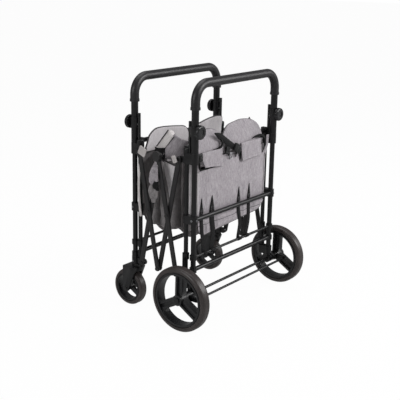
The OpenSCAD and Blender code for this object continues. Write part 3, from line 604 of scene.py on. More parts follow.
# end panels: a sheet that swells between the bars and is held flat under the straps
panel = {"w": 416, "corner": 42, "swell": 5.0, "lowSwell": 9.0, "seamZ": 361, "wrinkle": 0.7, "rise": 26,
         "straps": (-190, -128, 40, 108), "crease": (3.2, 8), "pull": 1.2, "stitchZ": 588, "calm": 60,
         # ramps, each by its start and length: under a strap, across and up; the upper swelling; the lower one
         "heldX": (36, -20), "heldZ": (480, -30), "upper": ((412, 60), (590, -40)), "lower": (386, -14), "rim": 18,
         "pullZ": (470, -60)}
panelKinds = {"rear": (panel["straps"], 0.0), "front": ((), 31.0)}  # straps and seed


# only the strapped panel's lower edge rises, from its left end to its right one
def panelRise(x):
    return panel["rise"] * (x / panel["w"] + 0.5)


def panelLow(x, straps):
    out = max(0.0, abs(x) - (panel["w"] / 2 - panel["corner"]))
    low = place["panelLow"] + (panelRise(x) if straps else 0.0)
    return low + panel["corner"] - math.sqrt(max(0.0, panel["corner"] ** 2 - out ** 2))


def panelDepth(x, z, straps, seed):
    held = max([ramp(abs(x - s), *panel["heldX"]) for s in straps] or [0.0]) * ramp(z, *panel["heldZ"])
    edge = ramp(abs(x), panel["w"] / 2, -panel["calm"])
    foot, head = panel["upper"]
    upper = panel["swell"] * ramp(z, *foot) * ramp(z, *head) * edge
    lower = panel["lowSwell"] * ramp(z, *panel["lower"]) * ramp(z, panelLow(x, straps), panel["rim"])
    deep, half = panel["crease"]
    crease = deep * bump(z, panel["seamZ"], half)
    soft = panel["wrinkle"] * (wrinkle(x, 0, z, 46, seed) + 0.5 * wrinkle(x, 0, z, 19, seed + 7))
    pulled = panel["pull"] * wrinkle(x * 2.2, 0, z * 0.5, 30, seed + 3) * ramp(z, *panel["pullZ"])
    return place["panelV"] - (upper + lower - crease) * (1 - 0.92 * held) - (soft + pulled) * (1 - held) * edge


def makePanel(end, straps, seed):
    def put(a, b):
        x = (a - 0.5) * panel["w"]
        z = between((panelLow(x, straps), place["panelTop"]), b)
        return ends[end](x, panelDepth(x, z, straps, seed), z)

    size = (panel["w"], place["panelTop"] - place["panelLow"])
    piece = sheetPiece(f"{end}_panel_cloth", 120, 84, put, heatherMauve, size)
    dress(piece, "grey_cloth", f"{end}_frame", f"{end}_panel")


# binding along the seam below the middle bar and round the panel's lower edge, with rows of stitches
def makeBinding(end, straps, seed):
    def on(x, z, out):
        return ends[end](x, panelDepth(x, z, straps, seed) - out, z)

    half = panel["w"] / 2
    seam = [on(-half + 4 + k * (2 * half - 8) / 90, panel["seamZ"], 1.4) for k in range(91)]
    rim = []
    for k in range(121):
        x = -half + 2 * half * k / 120
        low = panelLow(x, straps)
        rim.append(ends[end](x, panelDepth(x, low + 0.5, straps, seed), low))
    parts = [sweepPiece(f"{end}_seam", seam, roundSection(0.9, 6), (0, 0, 1), bindingTape),
             sweepPiece(f"{end}_rim", rim, roundSection(1.9), (0, 1, 0), bindingTape)]
    across = range(-200, 201, 4)
    for z in (panel["seamZ"] + 6, panel["seamZ"] - 6, panel["stitchZ"]):
        sewn[f"{end}_frame"].append([on(x, z, 1.2) for x in across])
    sewn[f"{end}_frame"].append([on(x, panelLow(x, straps) + 7, 1.2) for x in across])
    dress(joined(f"{end}_panel_binding", parts), "grey_cloth", f"{end}_frame")


for make in (makePanel, makeBinding):
    for end, kind in panelKinds.items():
        make(end, *kind)
print("stage: end panels made")

# pads: crowned closed forms with drawn-in sides and sewn channels
pads = {"edge": 0.42, "draw": 0.03, "sewn": 0.45, "soft": 0.8, "across": 44, "along": 40}


def makePad(name, put, at, size, topAt, channels, material, seed):
    w, h, t = size
    across, along = pads["across"], pads["along"]
    points, uvs, faces = [], [], []
    for face in (-1, 1):
        for j in range(along + 1):
            q = (1 - math.cos(math.pi * j / along)) / 2
            for i in range(across + 1):
                s = math.sin(math.pi * i / across - math.pi / 2)
                calm = (1 - s ** 4) * (1 - (2 * q - 1) ** 4)
                depth = t / 2 * (pads["edge"] + (1 - pads["edge"]) * math.sqrt(max(0.0, calm)))
                if channels and 0.02 < q < 0.98:
                    depth *= 1 - pads["sewn"] * abs(math.cos(math.pi * q * channels)) ** 26
                x = s * w / 2 * (1 - pads["draw"] * 4 * q * (1 - q))
                coarse, fine = (wrinkle(x, face * 9, q * h, scale, seed) for scale in (38, 15))
                ripple = pads["soft"] * calm * (coarse + 0.5 * fine)
                points.append((x, face * (depth + min(0.0, ripple)), q * topAt(s * w / 2)))
                uvs.append(((x + face * w) * mm, q * h * mm))
    n, m = across + 1, (across + 1) * (along + 1)
    for j in range(along):
        for i in range(across):
            a = j * n + i
            faces.append((a, a + 1, a + n + 1, a + n))
            faces.append((m + a, m + a + n, m + a + n + 1, m + a + 1))
    rim = list(range(n)) + [j * n + across for j in range(1, along + 1)]
    rim += [along * n + across - i for i in range(1, n)] + [(along - j) * n for j in range(1, along)]
    for a, b in zip(rim, rim[1:] + rim[:1]):
        faces.append((a, m + a, m + b, b))

    def there(p):
        return put(*(c + d for c, d in zip(at, p)))

    piece = meshPiece(name, [there(p) for p in points], faces, material, uvs)
    outwards(piece)
    pairs = [(points[k], points[m + k]) for k in rim]
    return piece, [there(((p[0] + q[0]) / 2, 0.0, (p[2] + q[2]) / 2)) for p, q in pairs]


# head panels: padded boards with dark binding; each by the line of its top, as places across and heights.
# The rear ones and the front right one flop in over the top bar
heads = {
    "low": 606, "thick": 13, "lean": (22, 72),
    "rear": {
        "v": 18.1, "binding": 1.7, "outer": -1, "cloth": heatherMauve,
        "left": {"lean": 30, "top": ((-212, 618), (-209, 642), (-200, 668), (-180, 689), (-157, 696), (-114, 699),
                                     (-84, 693), (-68, 680), (-61, 650), (-59, 618))},
        "right": {"lean": 30, "top": ((-60, 618), (-56, 644), (-44, 668), (-17, 687), (10, 698), (62, 704),
                                      (94, 706), (140, 702), (165, 695), (185, 681), (193, 660), (197, 618))},
    },
    "front": {
        "v": 36.4, "binding": 3.4, "outer": 1, "cloth": heatherPale,
        "left": {"lean": 0, "top": ((-229, 618), (-220, 636), (-209, 661), (-181, 680), (-150, 684), (-90, 680),
                                    (-40, 674), (-8, 669), (10, 656), (17, 636), (20, 618))},
        "right": {"lean": 18, "top": ((24, 618), (30, 640), (48, 658), (72, 668), (120, 680), (170, 686),
                                      (208, 682), (224, 672), (230, 650), (232, 618))},
    },
}


def makeHeads(end):
    own, made, bound = heads[end], [], []
    body = f"{end}_frame"
    start, reach = heads["lean"]
    for side in sideOf:
        lean = own[side]["lean"]
        line = [(q.x, q.z) for q in smoothLine([(x, 0, z) for x, z in own[side]["top"]], 6)]
        x0, x1 = line[0][0], line[-1][0]
        middle = (x0 + x1) / 2

        def leaning(x, v, z):
            return ends[end](x, v + lean * max(0.0, (z - heads["low"] - start) / reach) ** 1.5, z)

        def topAt(x):
            return tableAt(line, x + middle) - heads["low"]

        size = (x1 - x0, max(z for x, z in line) - heads["low"], heads["thick"])
        piece, rim = makePad(f"{end}_head_{side}", leaning, (middle, own["v"], heads["low"]), size, topAt, 0,
                             own["cloth"], 5.0 + x0)
        made.append(piece)
        sewn[body].append([p + Vector((0, own["outer"] * own["binding"], 0)) * mm for p in rim])
        tape = roundSection(own["binding"])
        bound.append(sweepPiece(f"{end}_bound_{side}", rim, tape, (0, 1, 0), bindingTape, True))
    pad = dress(joined(f"{end}_head_pads", made), "grey_cloth", body, f"{end}_head_panels")
    dress(joined(f"{end}_head_binding", bound), "grey_cloth", body)


for end in ends:
    makeHeads(end)
print("stage: head panels made")

# a cushion's cover filled with air: held along its seams, it swells between them
sim = {"voxel": 5.0, "cap": 9.0, "pressure": 4.0, "frames": 20, "shrink": 5.0, "held": 4.0}


def inflated(piece, seams):
    remesh = piece.modifiers.new("remesh", "REMESH")
    remesh.mode = "VOXEL"
    remesh.voxel_size = sim["voxel"] * mm
    applied(piece)
    rest = [v.co.copy() for v in piece.data.vertices]
    low = min(v.x for v in rest), min(v.z for v in rest)
    high = max(v.x for v in rest), max(v.z for v in rest)
    reach = sim["held"] * mm
    held = [k for k, v in enumerate(rest) if min(v.x - low[0], high[0] - v.x, v.z - low[1], high[1] - v.z) < reach
            or any(abs(v.z - z) < reach for z in seams)]
    piece.vertex_groups.new(name="sewn").add(held, 1.0, "REPLACE")
    cloth = piece.modifiers.new("cloth", "CLOTH")
    cloth.settings.use_pressure = True
    cloth.settings.uniform_pressure_force = sim["pressure"]
    cloth.settings.vertex_group_mass = "sewn"
    cloth.settings.quality = 5
    cloth.settings.effector_weights.gravity = 0
    cloth.point_cache.frame_end = sim["frames"]
    for f in range(1, sim["frames"] + 1):
        scene.frame_set(f)
    applied(piece)
    scene.frame_set(1)
    most = 0.0
    for v, r in zip(piece.data.vertices, rest):
        move = v.co - r
        most = max(most, move.length)
        if move.length > sim["cap"] * mm:
            v.co = r + move.normalized() * sim["cap"] * mm
    print("swelling of", piece.name, round(most / mm, 1), "mm")
    fine = piece.modifiers.new("fine", "SUBSURF")
    fine.levels = fine.render_levels = 1
    applied(piece)
    layer = piece.data.uv_layers.new(name="cloth")
    for loop in piece.data.loops:
        at = piece.data.vertices[loop.vertex_index].co
        layer.data[loop.index].uv = (at.x + at.y, at.z)
    piece.data.shade_smooth()


def makeCushion(name, put, own):
    smaller = sim["shrink"]
    size = [own[k] - smaller for k in ("w", "h", "thick")]
    w, h = size[:2]
    corner, channels = own["corner"], own["channels"]

    def topAt(x):
        out = max(0.0, abs(x) - (w / 2 - corner))
        return h - corner * 0.8 + 0.8 * math.sqrt(max(0.0, corner ** 2 - out ** 2))

    at = (0, own["v"], own["low"] + smaller / 2)
    piece, rim = makePad(name, put, at, size, topAt, channels, heatherPale, own["seed"])
    inflated(piece, [(own["low"] + own["h"] * (k + 0.5) / channels) * mm for k in range(channels)])
    return piece, rim


# backrests against the end panels, seat pads folded up in front of them
back = {"w": 392, "low": 402, "h": 200, "thick": 13, "v": 20.9, "corner": 30, "channels": 3, "seed": 11.0}
seat = {"w": 330, "low": 388.15, "h": 205, "thick": 26, "v": 40.7, "corner": 26, "channels": 3, "seed": 17.0,
        "hinge": 384, "rod": 8, "edge": 1.8}

for end, put in ends.items():
    rest = makeCushion(f"{end}_backrest_pad", put, back)[0]
    dress(rest, "grey_cloth", f"{end}_frame", f"{end}_backrest")
    pad, rim = makeCushion(f"{end}_seat_cushion", put, seat)
    rod = [put(k * (seat["w"] / 2 - 4), seat["v"], seat["hinge"]) for k in (-1, 1)]
    edges = [sweepPiece("seat_edge", rim, roundSection(seat["edge"]), (0, 1, 0), bindingTape, True),
             sweepPiece("seat_hem", rod, roundSection(seat["rod"] / 2, 14), (0, 1, 0), bindingTape)]
    trim = joined(f"{end}_seat_trim", edges)
    dress(pad, "grey_cloth", f"{end}_seat", f"{end}_seat_pad")
    dress(trim, "grey_cloth", f"{end}_seat")
print("stage: backrests and seats made")

# flaps: folded-over tongues at the top of the rear panel; the left one's lower corner curls up and off
flaps = {
    -1: {"x": (-197, -79), "low": 566, "curl": 15, "lift": (15, 4), "seed": 3.0},
    1: {"x": (42, 171), "low": 563, "curl": 0, "lift": (8, 3), "seed": 4.0},
    "top": 628, "long": 108, "cuts": 36,
}


def flapLine(flap, a):
    lift = flap["lift"][0] * (1 - a) ** 1.4 + flap["lift"][1] * a
    low = flap["low"] + flap["curl"] * (1 - a) ** 1.3
    top = flaps["top"]
    return smoothLine([(10.4, 0, 604), (10.0, 0, 614), (9.4, 0, top - 4), (7.0, 0, top), (4.6, 0, top - 4),
                       (4.0, 0, top - 18), (3.6 - lift * 0.3, 0, (top + low) / 2 - 6), (4.2 - lift, 0, low)], 6)


def makeFlap(side):
    flap, cuts = flaps[side], flaps["cuts"]
    lines = [flapLine(flap, i / cuts) for i in range(cuts + 1)]
    last = len(lines[0]) - 1

    def put(a, b):
        p = lines[round(a * cuts)][round(b * last)]
        x = between(flap["x"], a)
        droop = 1.5 * wrinkle(x, 0, p.z, 40, flap["seed"])
        tuck = 1.5 * (2 * a - 1) ** 6
        return fromRear(x, p.x + tuck + 0.35 * droop * b, p.z + 0.6 * droop - 1.5 * tuck * b)

    out = Vector((0, -1.5, 0)) * mm
    sewn["rear_frame"].append([put(i / cuts, (last - 3) / last) + out for i in range(1, cuts)])
    for i in (2, cuts - 2):
        sewn["rear_frame"].append([put(i / cuts, j / last) + out for j in range(last // 2 + 2, last - 2)])
    size = (flap["x"][1] - flap["x"][0], flaps["long"])
    return sheetPiece(f"flap{side}", cuts, last, put, heatherMauve, size, 2.2)


rearFlaps = bothSides("rear_flap_cloth", makeFlap, body="rear_frame", node="rear_flaps")

# wings: the panel's upper corners, which reach up beside the flaps to the ends of the top bar
wings = {-1: ((-212, 560), (-214, 590), (-218, 612), (-222, 634)),
         1: ((212, 558), (222, 585), (228, 606), (230, 634)),
         "width": (8, 16, 22, 26), "v": 10.2, "bow": 3.0, "turn": 5.0, "flat": 36}


def wingPlace(side, a, b):
    spine = smoothLine([(x, w, z) for (x, z), w in zip(wings[side], wings["width"])])
    p = spine[round(b * (len(spine) - 1))]
    v = wings["v"] - wings["bow"] * math.sin(math.pi * a) + wings["turn"] * a * a
    return fromRear(p.x + side * (a - 0.5) * p.y, v, p.z)


panelWings = sheetPair("rear_panel_wings", wingPlace, (12, 24), heatherMauve, (24, 78), body="rear_frame")

# returns: the rear panel's edges turned round on to the side walls, seen between the posts; their paler cloth is
# painted light, for the light these strips catch
turned = {"v": (9, 56), "x": (209, 218), "z": (388, 594), "bow": 4, "wrinkle": 1.2, "flat": 96}


def returnPlace(side, a, b):
    z = between(turned["z"], b)
    x = between(turned["x"], a) + turned["bow"] * math.sin(math.pi * a)
    x += turned["wrinkle"] * wrinkle(a * 40, side, z, 30, 6.0)
    return fromRear(side * x, between(turned["v"], a), z)


panelReturns = sheetPair("rear_panel_returns", returnPlace, (16, 60), heatherPale, (48, 206), body="rear_frame")
print("stage: flaps made")

# side walls: gathered between the folded ends; the plan goes from the rear end to the front one, each place
# as its distance from the middle and how far out it lies
wall = {
    "low": 336, "top": 612, "ends": 14.6, "crumple": 3.5, "limit": 238, "columns": 170, "rows": 80,
    "seed": {-1: 2.0, 1: 8.0},
    "loose": (92, 32),  # held flat from here on towards the ends, over so much
    "foot": (96, 28, 26),  # the lower edge rises towards the ends: from where, over how much and how far
    "dips": ((-12, 48, 26), (62, 30, 22)),  # of the upper edge: place, half width and depth
    "fold": (58, 34), "foldOut": 11, "foldZ": (430, 20),  # the crumpled fold: place, half width, depth, lower end
    "dent": (52, 13), "dentZ": (490, 17), "dentIn": 26,  # in that fold: place, height and depth
    "plan": ((-124.4, 205), (-108, 208), (-95, 212), (-89, 219), (-84, 222), (-79, 202), (-72, 180), (-65, 180),
             (-60, 197), (-56, 206), (-51, 192), (-46, 197), (-40, 222), (-20, 229), (16, 231), (26, 224),
             (32, 194), (38, 190), (46, 220), (58, 230), (68, 226), (76, 200), (84, 174), (96, 176), (108, 200),
             (118, 224), (124.4, 205)),
    # the crumpled fold leans to and fro: height and shift
    "drift": ((336, 0), (430, 0), (455, -12), (482, 3), (521, 6), (576, -20), (640, -24)),
}


def evenLine(points, count):
    line = smoothLine(points, 12)
    runs = [0.0]
    for a, b in zip(line, line[1:]):
        runs.append(runs[-1] + (b - a).length)
    even, k = [], 0
    for i in range(count + 1):
        want = runs[-1] * i / count
        while k < len(runs) - 2 and runs[k + 1] < want:
            k += 1
        even.append(line[k].lerp(line[k + 1], (want - runs[k]) / (runs[k + 1] - runs[k])))
    return even, runs[-1]


wallLine, wallLength = evenLine([(y, x, 0) for y, x in wall["plan"]], wall["columns"])


def wallPlace(side, a, b):
    seed = wall["seed"][side]
    at = wallLine[round(a * wall["columns"])]
    start, over, rise = wall["foot"]
    low = wall["low"] + rise * ramp(abs(at.x), start, over)
    high = wall["top"] - sum(depth * bump(at.x, middle, half) for middle, half, depth in wall["dips"])
    z = between((low, high), b)
    loose = 1 - ramp(abs(at.x), *wall["loose"])
    fold = bump(at.x, *wall["fold"])
    crush = wrinkle(at.x, side * 9, z, 34, seed) + 0.6 * wrinkle(at.x, 0, z, 14, seed)
    crush *= loose * wall["crumple"]
    crush += fold * wall["foldOut"] * wrinkle(at.x * 1.4, 3, z, 24, seed + 5) * ramp(z, *wall["foldZ"])
    dent = wall["dentIn"] * bump(at.x, *wall["dent"]) * bump(z, *wall["dentZ"])
    shift = fold * tableAt(wall["drift"], z, True) + loose * 4 * wrinkle(at.x, 4, z, 40, seed + 9)
    return fromSide(side, min(wall["limit"], at.y + crush - dent), at.x + shift, z)


# the walls' deeper cloth is painted shade
walls = sheetPair("side_wall_cloth", wallPlace, (wall["columns"], wall["rows"]), heatherShaded,
                  (wallLength, wall["top"] - wall["low"]), 2.2, node="side_walls")


# a place on a four-sided patch, whose front and rear edges go upwards as distance from the middle and height
def onPatch(own, a, b):
    near, far = (Vector(own[edge][0]).lerp(Vector(own[edge][1]), b) for edge in ("front", "rear"))
    return near.lerp(far, a)


# wall folds: the ridge of each wall that stands out under the arm roll and narrows downwards; its paler cloth is
# painted light, for the light on its lit face
ridge = {"front": ((-22, 456), (14, 590)), "rear": ((-29, 456), (-56, 573)), "x": 231, "out": 9, "wrinkle": 1.5,
         "flat": 140}


def ridgePlace(side, a, b):
    at = onPatch(ridge, a, b)
    swell = ridge["out"] * math.sin(math.pi * a) ** 0.6 * (0.35 + 0.65 * b)
    swell += ridge["wrinkle"] * wrinkle(at.x, side, at.y, 26, 5.0)
    return fromSide(side, ridge["x"] + swell, at.x, at.y)


wallFolds = sheetPair("wall_folds", ridgePlace, (30, 44), heatherPale, (70, 130), 2.2)

# padded bands: the walls' upper edges, folded down behind the arm rolls
band = {"front": ((20, 600), (-43, 690)), "rear": ((-46, 584), (-68, 660)), "x": (232, 186), "thick": 5,
        "swell": 13, "wrinkle": 3, "tuck": 10, "tuckTo": 0.12, "flat": 140}


def bandPlace(side, a, b):
    at = onPatch(band, a, b)
    swell = band["swell"] * math.sin(math.pi * min(1.0, b + 0.1)) * math.sin(math.pi * a ** 0.7)
    swell += band["wrinkle"] * wrinkle(at.x, side, at.y, 22, 4.0)
    tuck = band["tuck"] * (1 - smooth(b / band["tuckTo"]))
    return fromSide(side, between(band["x"], a ** 1.7) - tuck + swell, at.x, at.y)


bands = sheetPair("side_band_cloth", bandPlace, (40, 48), heatherMauve, (70, 112), band["thick"])

# arm rolls: square-edged padded strips, with dark piping along both long edges and the band's edge, one long-edge
# piping partly painted shade for the shadow line along that edge, and a flat dark tape along the slit below,
# painted shade for the inside of the pocket opening; the right one sags at its rear end
roll = {"x": 227, "from": (24, 625), "to": {-1: (-31, 692), 1: (-31, 664)}, "wide": 17.5, "thick": 12.5,
        "square": 0.42, "round": 2.5, "rib": 7, "ribOut": 0.012, "across": (0, 67, 55), "cuts": 64, "corners": 36}
pipe = {"r": 2.0, "along": 0.96, "out": 0.9, "slit": ((26, 594), (4, 586), (-14, 581), (-44, 577)), "slitX": 237,
        "slitSize": (7.0, 2.4)}


def makeRoll(side):
    a, b = (fromSide(side, roll["x"], *at) for at in (roll["from"], roll["to"][side]))
    line = [a + (b - a) * (k / roll["cuts"]) for k in range(roll["cuts"] + 1)]
    length = (b - a).length / mm

    def grow(t):
        flat = min(1.0, t * length / roll["round"])
        dome = min(1.0, (1 - t) * length / (4 * roll["round"]))
        r = min(0.85 + 0.15 * math.sqrt(1 - (1 - flat) ** 2), 0.3 + 0.7 * math.sqrt(1 - (1 - dome) ** 2))
        return (r, r + roll["ribOut"] * math.sin(t * length * 2 * math.pi / roll["rib"]))

    def squared(c):
        return math.copysign(abs(c) ** roll["square"], c)

    circle = roundSection(1, roll["corners"])
    section = [(roll["wide"] * squared(c), roll["thick"] * squared(s)) for c, s in circle]
    return sweepPiece(f"roll{side}", line, section, (side, -0.25, 0.55), brushedKnit, scale=grow)


def makePiping(side):
    def tape(line, section, up):
        return sweepPiece("tape", line, section, up, bindingTape)

    thin = roundSection(pipe["r"])
    pieces = []
    x = roll["x"] + roll["thick"] * pipe["out"]
    for sign in (-1, 1):
        corner = -Vector(roll["across"]).normalized() * roll["wide"] * sign * pipe["along"] * mm
        a, b = (fromSide(side, x, *at) + corner for at in (roll["from"], roll["to"][side]))
        pieces.append(tape([a.lerp(b, i / 12) for i in range(13)], thin, (1, 0, 0)))
    pieces.append(tape([bandPlace(side, 0.0, k / 24) for k in range(25)], thin, (1, 0, 0)))
    # the flat tape along the slit is painted shade for the dark inside of the pocket opening
    slit = smoothLine([fromSide(side, pipe["slitX"], *at) for at in pipe["slit"]])
    return pieces + [tape(slit, bandSection(*pipe["slitSize"]), (side, 0, 0))]


rolls = bothSides("arm_rolls", makeRoll)
piping = dress(joined("arm_roll_piping", makePiping(-1) + makePiping(1)), "grey_cloth")

# hems: the pale turned edge of each wall, over the front inner post
hem = {"line": ((366, 95.6), (419, 102), (476, 105.4), (533, 102.8), (573, 98.2)), "x": 258, "w": 9.0, "t": 2.4}


def makeHem(side):
    line = smoothLine([fromSide(side, hem["x"], y, z) for z, y in hem["line"]], 10)
    return sweepPiece(f"hem{side}", line, bandSection(hem["w"], hem["t"]), (side, -0.4, 0), brushedKnit)


hems = bothSides("wall_hems", makeHem, body="front_frame")

# sleeves: crumpled cloth bunched on the front carriage links, a paler upper bunch, a lower one in the darker
# painted-shade cloth, and between them a black webbing sheet painted in as the shadow in the gap; as rows of
# height, rear edge, front edge and how far out
sleeves = {
    "kinds": {
        "upper": {"rows": ((502, -6, 30, 276), (518, -10, 33, 282), (540, -12, 29, 286), (560, -9, 23, 283),
                           (578, -6, 16, 279), (594, -1, 9, 273)),
                  "cloth": heatherMauve, "crumple": 11, "long": 98, "slot": "grey_cloth"},
        # black webbing sheet painted in as the shadow in the gap between the two bunches
        "gap": {"rows": ((486, -12, 8, 281), (498, -13, 14, 284), (512, -12, 12, 284), (524, -9, 4, 281)),
                "cloth": webbing, "crumple": 4, "long": 40, "slot": "webbing"},
        "lower": {"rows": ((436, 14, 24, 273), (450, 4, 30, 277), (466, -6, 34, 281), (482, -9, 35, 283),
                           (496, -8, 34, 280), (508, -4, 31, 275)),
                  "cloth": heatherShaded, "crumple": 10, "long": 78, "slot": "grey_cloth"},
    },
    "limits": (272.0, 291), "wide": 44,
}


def makeSleeve(name, side, own):
    rows = smoothLine([r[1:] for r in own["rows"]], 10)
    heights = smoothLine([(r[0], 0, 0) for r in own["rows"]], 10)
    last = len(rows) - 1

    def put(a, b):
        row, z = rows[round(b * last)], heights[round(b * last)].x
        y = between(row, a)
        crest = 1 - abs(2 * ((0.034 * (z + 0.9 * y) + 0.5 * wrinkle(y, side, z, 40, 3.0)) % 1) - 1)
        fold = own["crumple"] * (crest - 0.5 + 0.3 * wrinkle(y * 1.3, side, z, 17, 8.0))
        out = row.z + (4 + fold) * math.sin(math.pi * a) ** 0.5
        least, most = sleeves["limits"]
        return fromSide(side, max(least, min(most, out)), y, z + 3 * wrinkle(y, 2, z, 20, 1.0))
    return sheetPiece(name, 44, last, put, own["cloth"], (sleeves["wide"], own["long"]))


for kind, own in sleeves["kinds"].items():
    for name, side in sideOf.items():
        link = f"front_carriage_link_{name}"
        piece = dress(makeSleeve(f"link_sleeve_{kind}_{name}", side, own), own["slot"], link)

# loops of webbing that hold the walls to the scissors' upper middle
loops = {"y": (-6, 40), "z": (598, 633), "x": 243, "crumple": 5, "flat": 92}


def loopPlace(side, a, b):
    y = between(loops["y"], a) + 4 * wrinkle(a * 40, 0, b * 40, 18, 2.0)
    z = between(loops["z"], b) + 5 * wrinkle(a * 40, 7, b * 40, 16, 6.0)
    return fromSide(side, loops["x"] + loops["crumple"] * wrinkle(a * 46, 1, b * 35, 13, 9.0), y, z)


wallLoops = sheetPair("wall_loops", loopPlace, (30, 24), webbing, (46, 35), slot="webbing")

# floor: a sheet hanging in two folds, whose rear end rises with the rear panel's lower edge
floorSet = {"w": 350, "z": 328, "sag": 36, "folds": ((0, 0), (0.25, 1), (0.5, 0.1), (0.75, 1), (1, 0))}
wallEnds = (place["rearY"] + wall["ends"], place["frontY"] - wall["ends"])


def floorPlace(a, b):
    sag = 0.0
    for (s, p), (t, q) in zip(floorSet["folds"], floorSet["folds"][1:]):
        if s <= b <= t:
            sag = p + (q - p) * (1 - math.cos(math.pi * (b - s) / (t - s))) / 2
    x = (a - 0.5) * floorSet["w"]
    calm = smooth(b / 0.1) * smooth((1 - b) / 0.1)
    lift = panelRise(x) * (1 - smooth((b - 0.3) / 0.5))
    drop = sag * floorSet["sag"] * (1 - 0.25 * (2 * a - 1) ** 4)
    z = floorSet["z"] + lift - drop + calm * 3 * wrinkle(x, b * 200, 0, 40, 5.0)
    return Vector((x, between(wallEnds, b), z)) * mm


# the floor's deeper cloth is painted shade
floorCloth = sheetPiece("floor_cloth", 70, 90, floorPlace, heatherShaded, (floorSet["w"], 300), 2.2)
dress(floorCloth, "grey_cloth", node="floor_panel")

for piece in (walls, bands, rolls, piping, wallLoops, floorCloth):
    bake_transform(piece)
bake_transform(wallFolds)
print("stage: side walls, arm rolls and floor made")

# webbing straps down the rear panel: pointed at the top, behind the middle bar, round the thin bar; each strap's
# shift at its foot, its bend below the middle bar and its width
straps = {"lean": (10, -3, -3, -20), "bend": (5, 9, 12, 3), "w": (20, 28, 21, 20), "t": 1.8, "top": 462, "v": 9.8,
          "free": 334, "barR": 5.3, "sewnZ": (420, 396), "sewnX": 5.5}


def makeStrap(k):
    x, lean, bend = panel["straps"][k], straps["lean"][k], straps["bend"][k]
    loop = straps["barR"] + straps["t"] / 2
    low = place["thinBarZ"]
    line = []
    for z in (*range(straps["top"], straps["free"], -8), *range(straps["free"], low, -7)):
        below = straps["free"] - z
        v = straps["v"] - (straps["v"] - loop) * smooth(below / 70)
        line.append(fromRear(x + lean * smooth(below / 90) + bend * bump(z, 318, 60), v, z))
    for step in range(25):
        u = -math.pi * step / 14
        line.append(fromRear(x + lean, loop * math.cos(u), low + loop * math.sin(u)))
    last = len(line) - 1

    def up(t):
        i = round(t * last)
        return Vector((1, 0, 0)).cross(line[min(last, i + 1)] - line[max(0, i - 1)])
    return sweepPiece(f"strap{k}", line, bandSection(straps["w"][k], straps["t"]), up, webbing,
                      scale=lambda t: (min(1.0, 0.06 + t / 0.13), 1))


high, low = straps["sewnZ"]
for x in panel["straps"]:
    crossed = ((-1, high), (1, high), (1, low), (-1, low), (-1, high), (1, low))
    sewn["rear_frame"].append([fromRear(x + i * straps["sewnX"], straps["v"] - straps["t"] / 2 - 0.2, z)
                               for i, z in crossed])
rearStraps = joined("rear_webbing", [makeStrap(k) for k in range(len(panel["straps"]))])
dress(rearStraps, "webbing", "rear_frame", "rear_straps")
sum(straps["w"])


def boxPiece(centre, size, material, turn=0.0, edge=1.5):
    def shaped(work):
        bmesh.ops.create_cube(work, size=1.0)
        bmesh.ops.scale(work, vec=Vector(size) * mm, verts=work.verts)
        bmesh.ops.rotate(work, cent=(0, 0, 0), matrix=Matrix.Rotation(turn, 3, "Y"), verts=work.verts)
        bmesh.ops.translate(work, vec=centre, verts=work.verts)

    piece = meshPiece("box", [], [], material)
    edited(piece.data, shaped)
    return bevelled(piece, edge, 4)


# side-release buckle: the socket, the plug's shoulder, two side arms and a ridge, by place along and across the
# strap and depth; then the clip of the spare strap and the left strap's buckle, each with its bar
buckle = {
    "at": (8, 1.6, 616), "turn": 32,
    "blocks": (((-7, 0, 0), (26, 11, 30), 4.5), ((15, 0, 0.6), (22, 9, 27), 4.0), ((3, 14, 0.4), (20, 7, 6), 2.6),
               ((3, -14, 0.4), (20, 7, 6), 2.6), ((-16, 0, -4.6), (5, 3, 24), 1.3)),
    "clips": (((-47, 4.2, 616), (24, 7, 26), 0.35, 2.5), ((-50, 1.2, 606), (28, 5, 6), 0.35, 2.0),
              ((-212, 2.4, 616), (24, 9, 31), -0.12, 4.2), ((-212, -2.6, 616), (17, 4, 6), -0.12, 1.8)),
}


def makeBuckle():
    turn = math.radians(buckle["turn"])
    along = Vector((math.cos(turn), 0, -math.sin(turn)))
    over = Vector((math.sin(turn), 0, math.cos(turn)))
    x, v, z = buckle["at"]
    parts = [boxPiece(fromRear(x, v + deep, z) + (along * a + over * b) * mm, size, buckleAcetal, turn, edge)
             for (a, b, deep), size, edge in buckle["blocks"]]
    parts += [boxPiece(fromRear(*at), size, buckleAcetal, tilt, edge) for at, size, tilt, edge in buckle["clips"]]
    return joined("fold_buckle", parts)


# fold strap across the head panels, with its buckle and a ring
fold = {"line": ((-119, 11.5, 688), (-96, 9.0, 677), (-64, 7.4, 657), (-33, 5.6, 637), (-6, 4.6, 620)), "w": 24,
        "t": 2.0}
foldBuckle = makeBuckle()
foldLine = smoothLine([fromRear(*p) for p in fold["line"]])
foldStrap = sweepPiece("fold_webbing", foldLine, bandSection(fold["w"], fold["t"]), (0, -1, 0), webbing,
                       scale=lambda t: (min(1.0, 0.14 + t / 0.34), 1))
dress(foldStrap, "webbing", "rear_frame", "fold_strap")
dress(foldBuckle, "black_plastic", "rear_frame")
ring = {"x": -26, "z": 592, "v": 4.6, "r": (9, 11), "tilt": 1.5, "wire": 2.0}
ringLine = [fromRear(ring["x"] + ring["r"][0] * c, ring["v"] - ring["tilt"] * s, ring["z"] + ring["r"][1] * s)
            for c, s in roundSection(1, 32)]
strapRing = sweepPiece("strap_ring", ringLine, roundSection(ring["wire"], 10), (0, 1, 0), zincSteel, True)
dress(strapRing, "black_steel", "rear_frame")
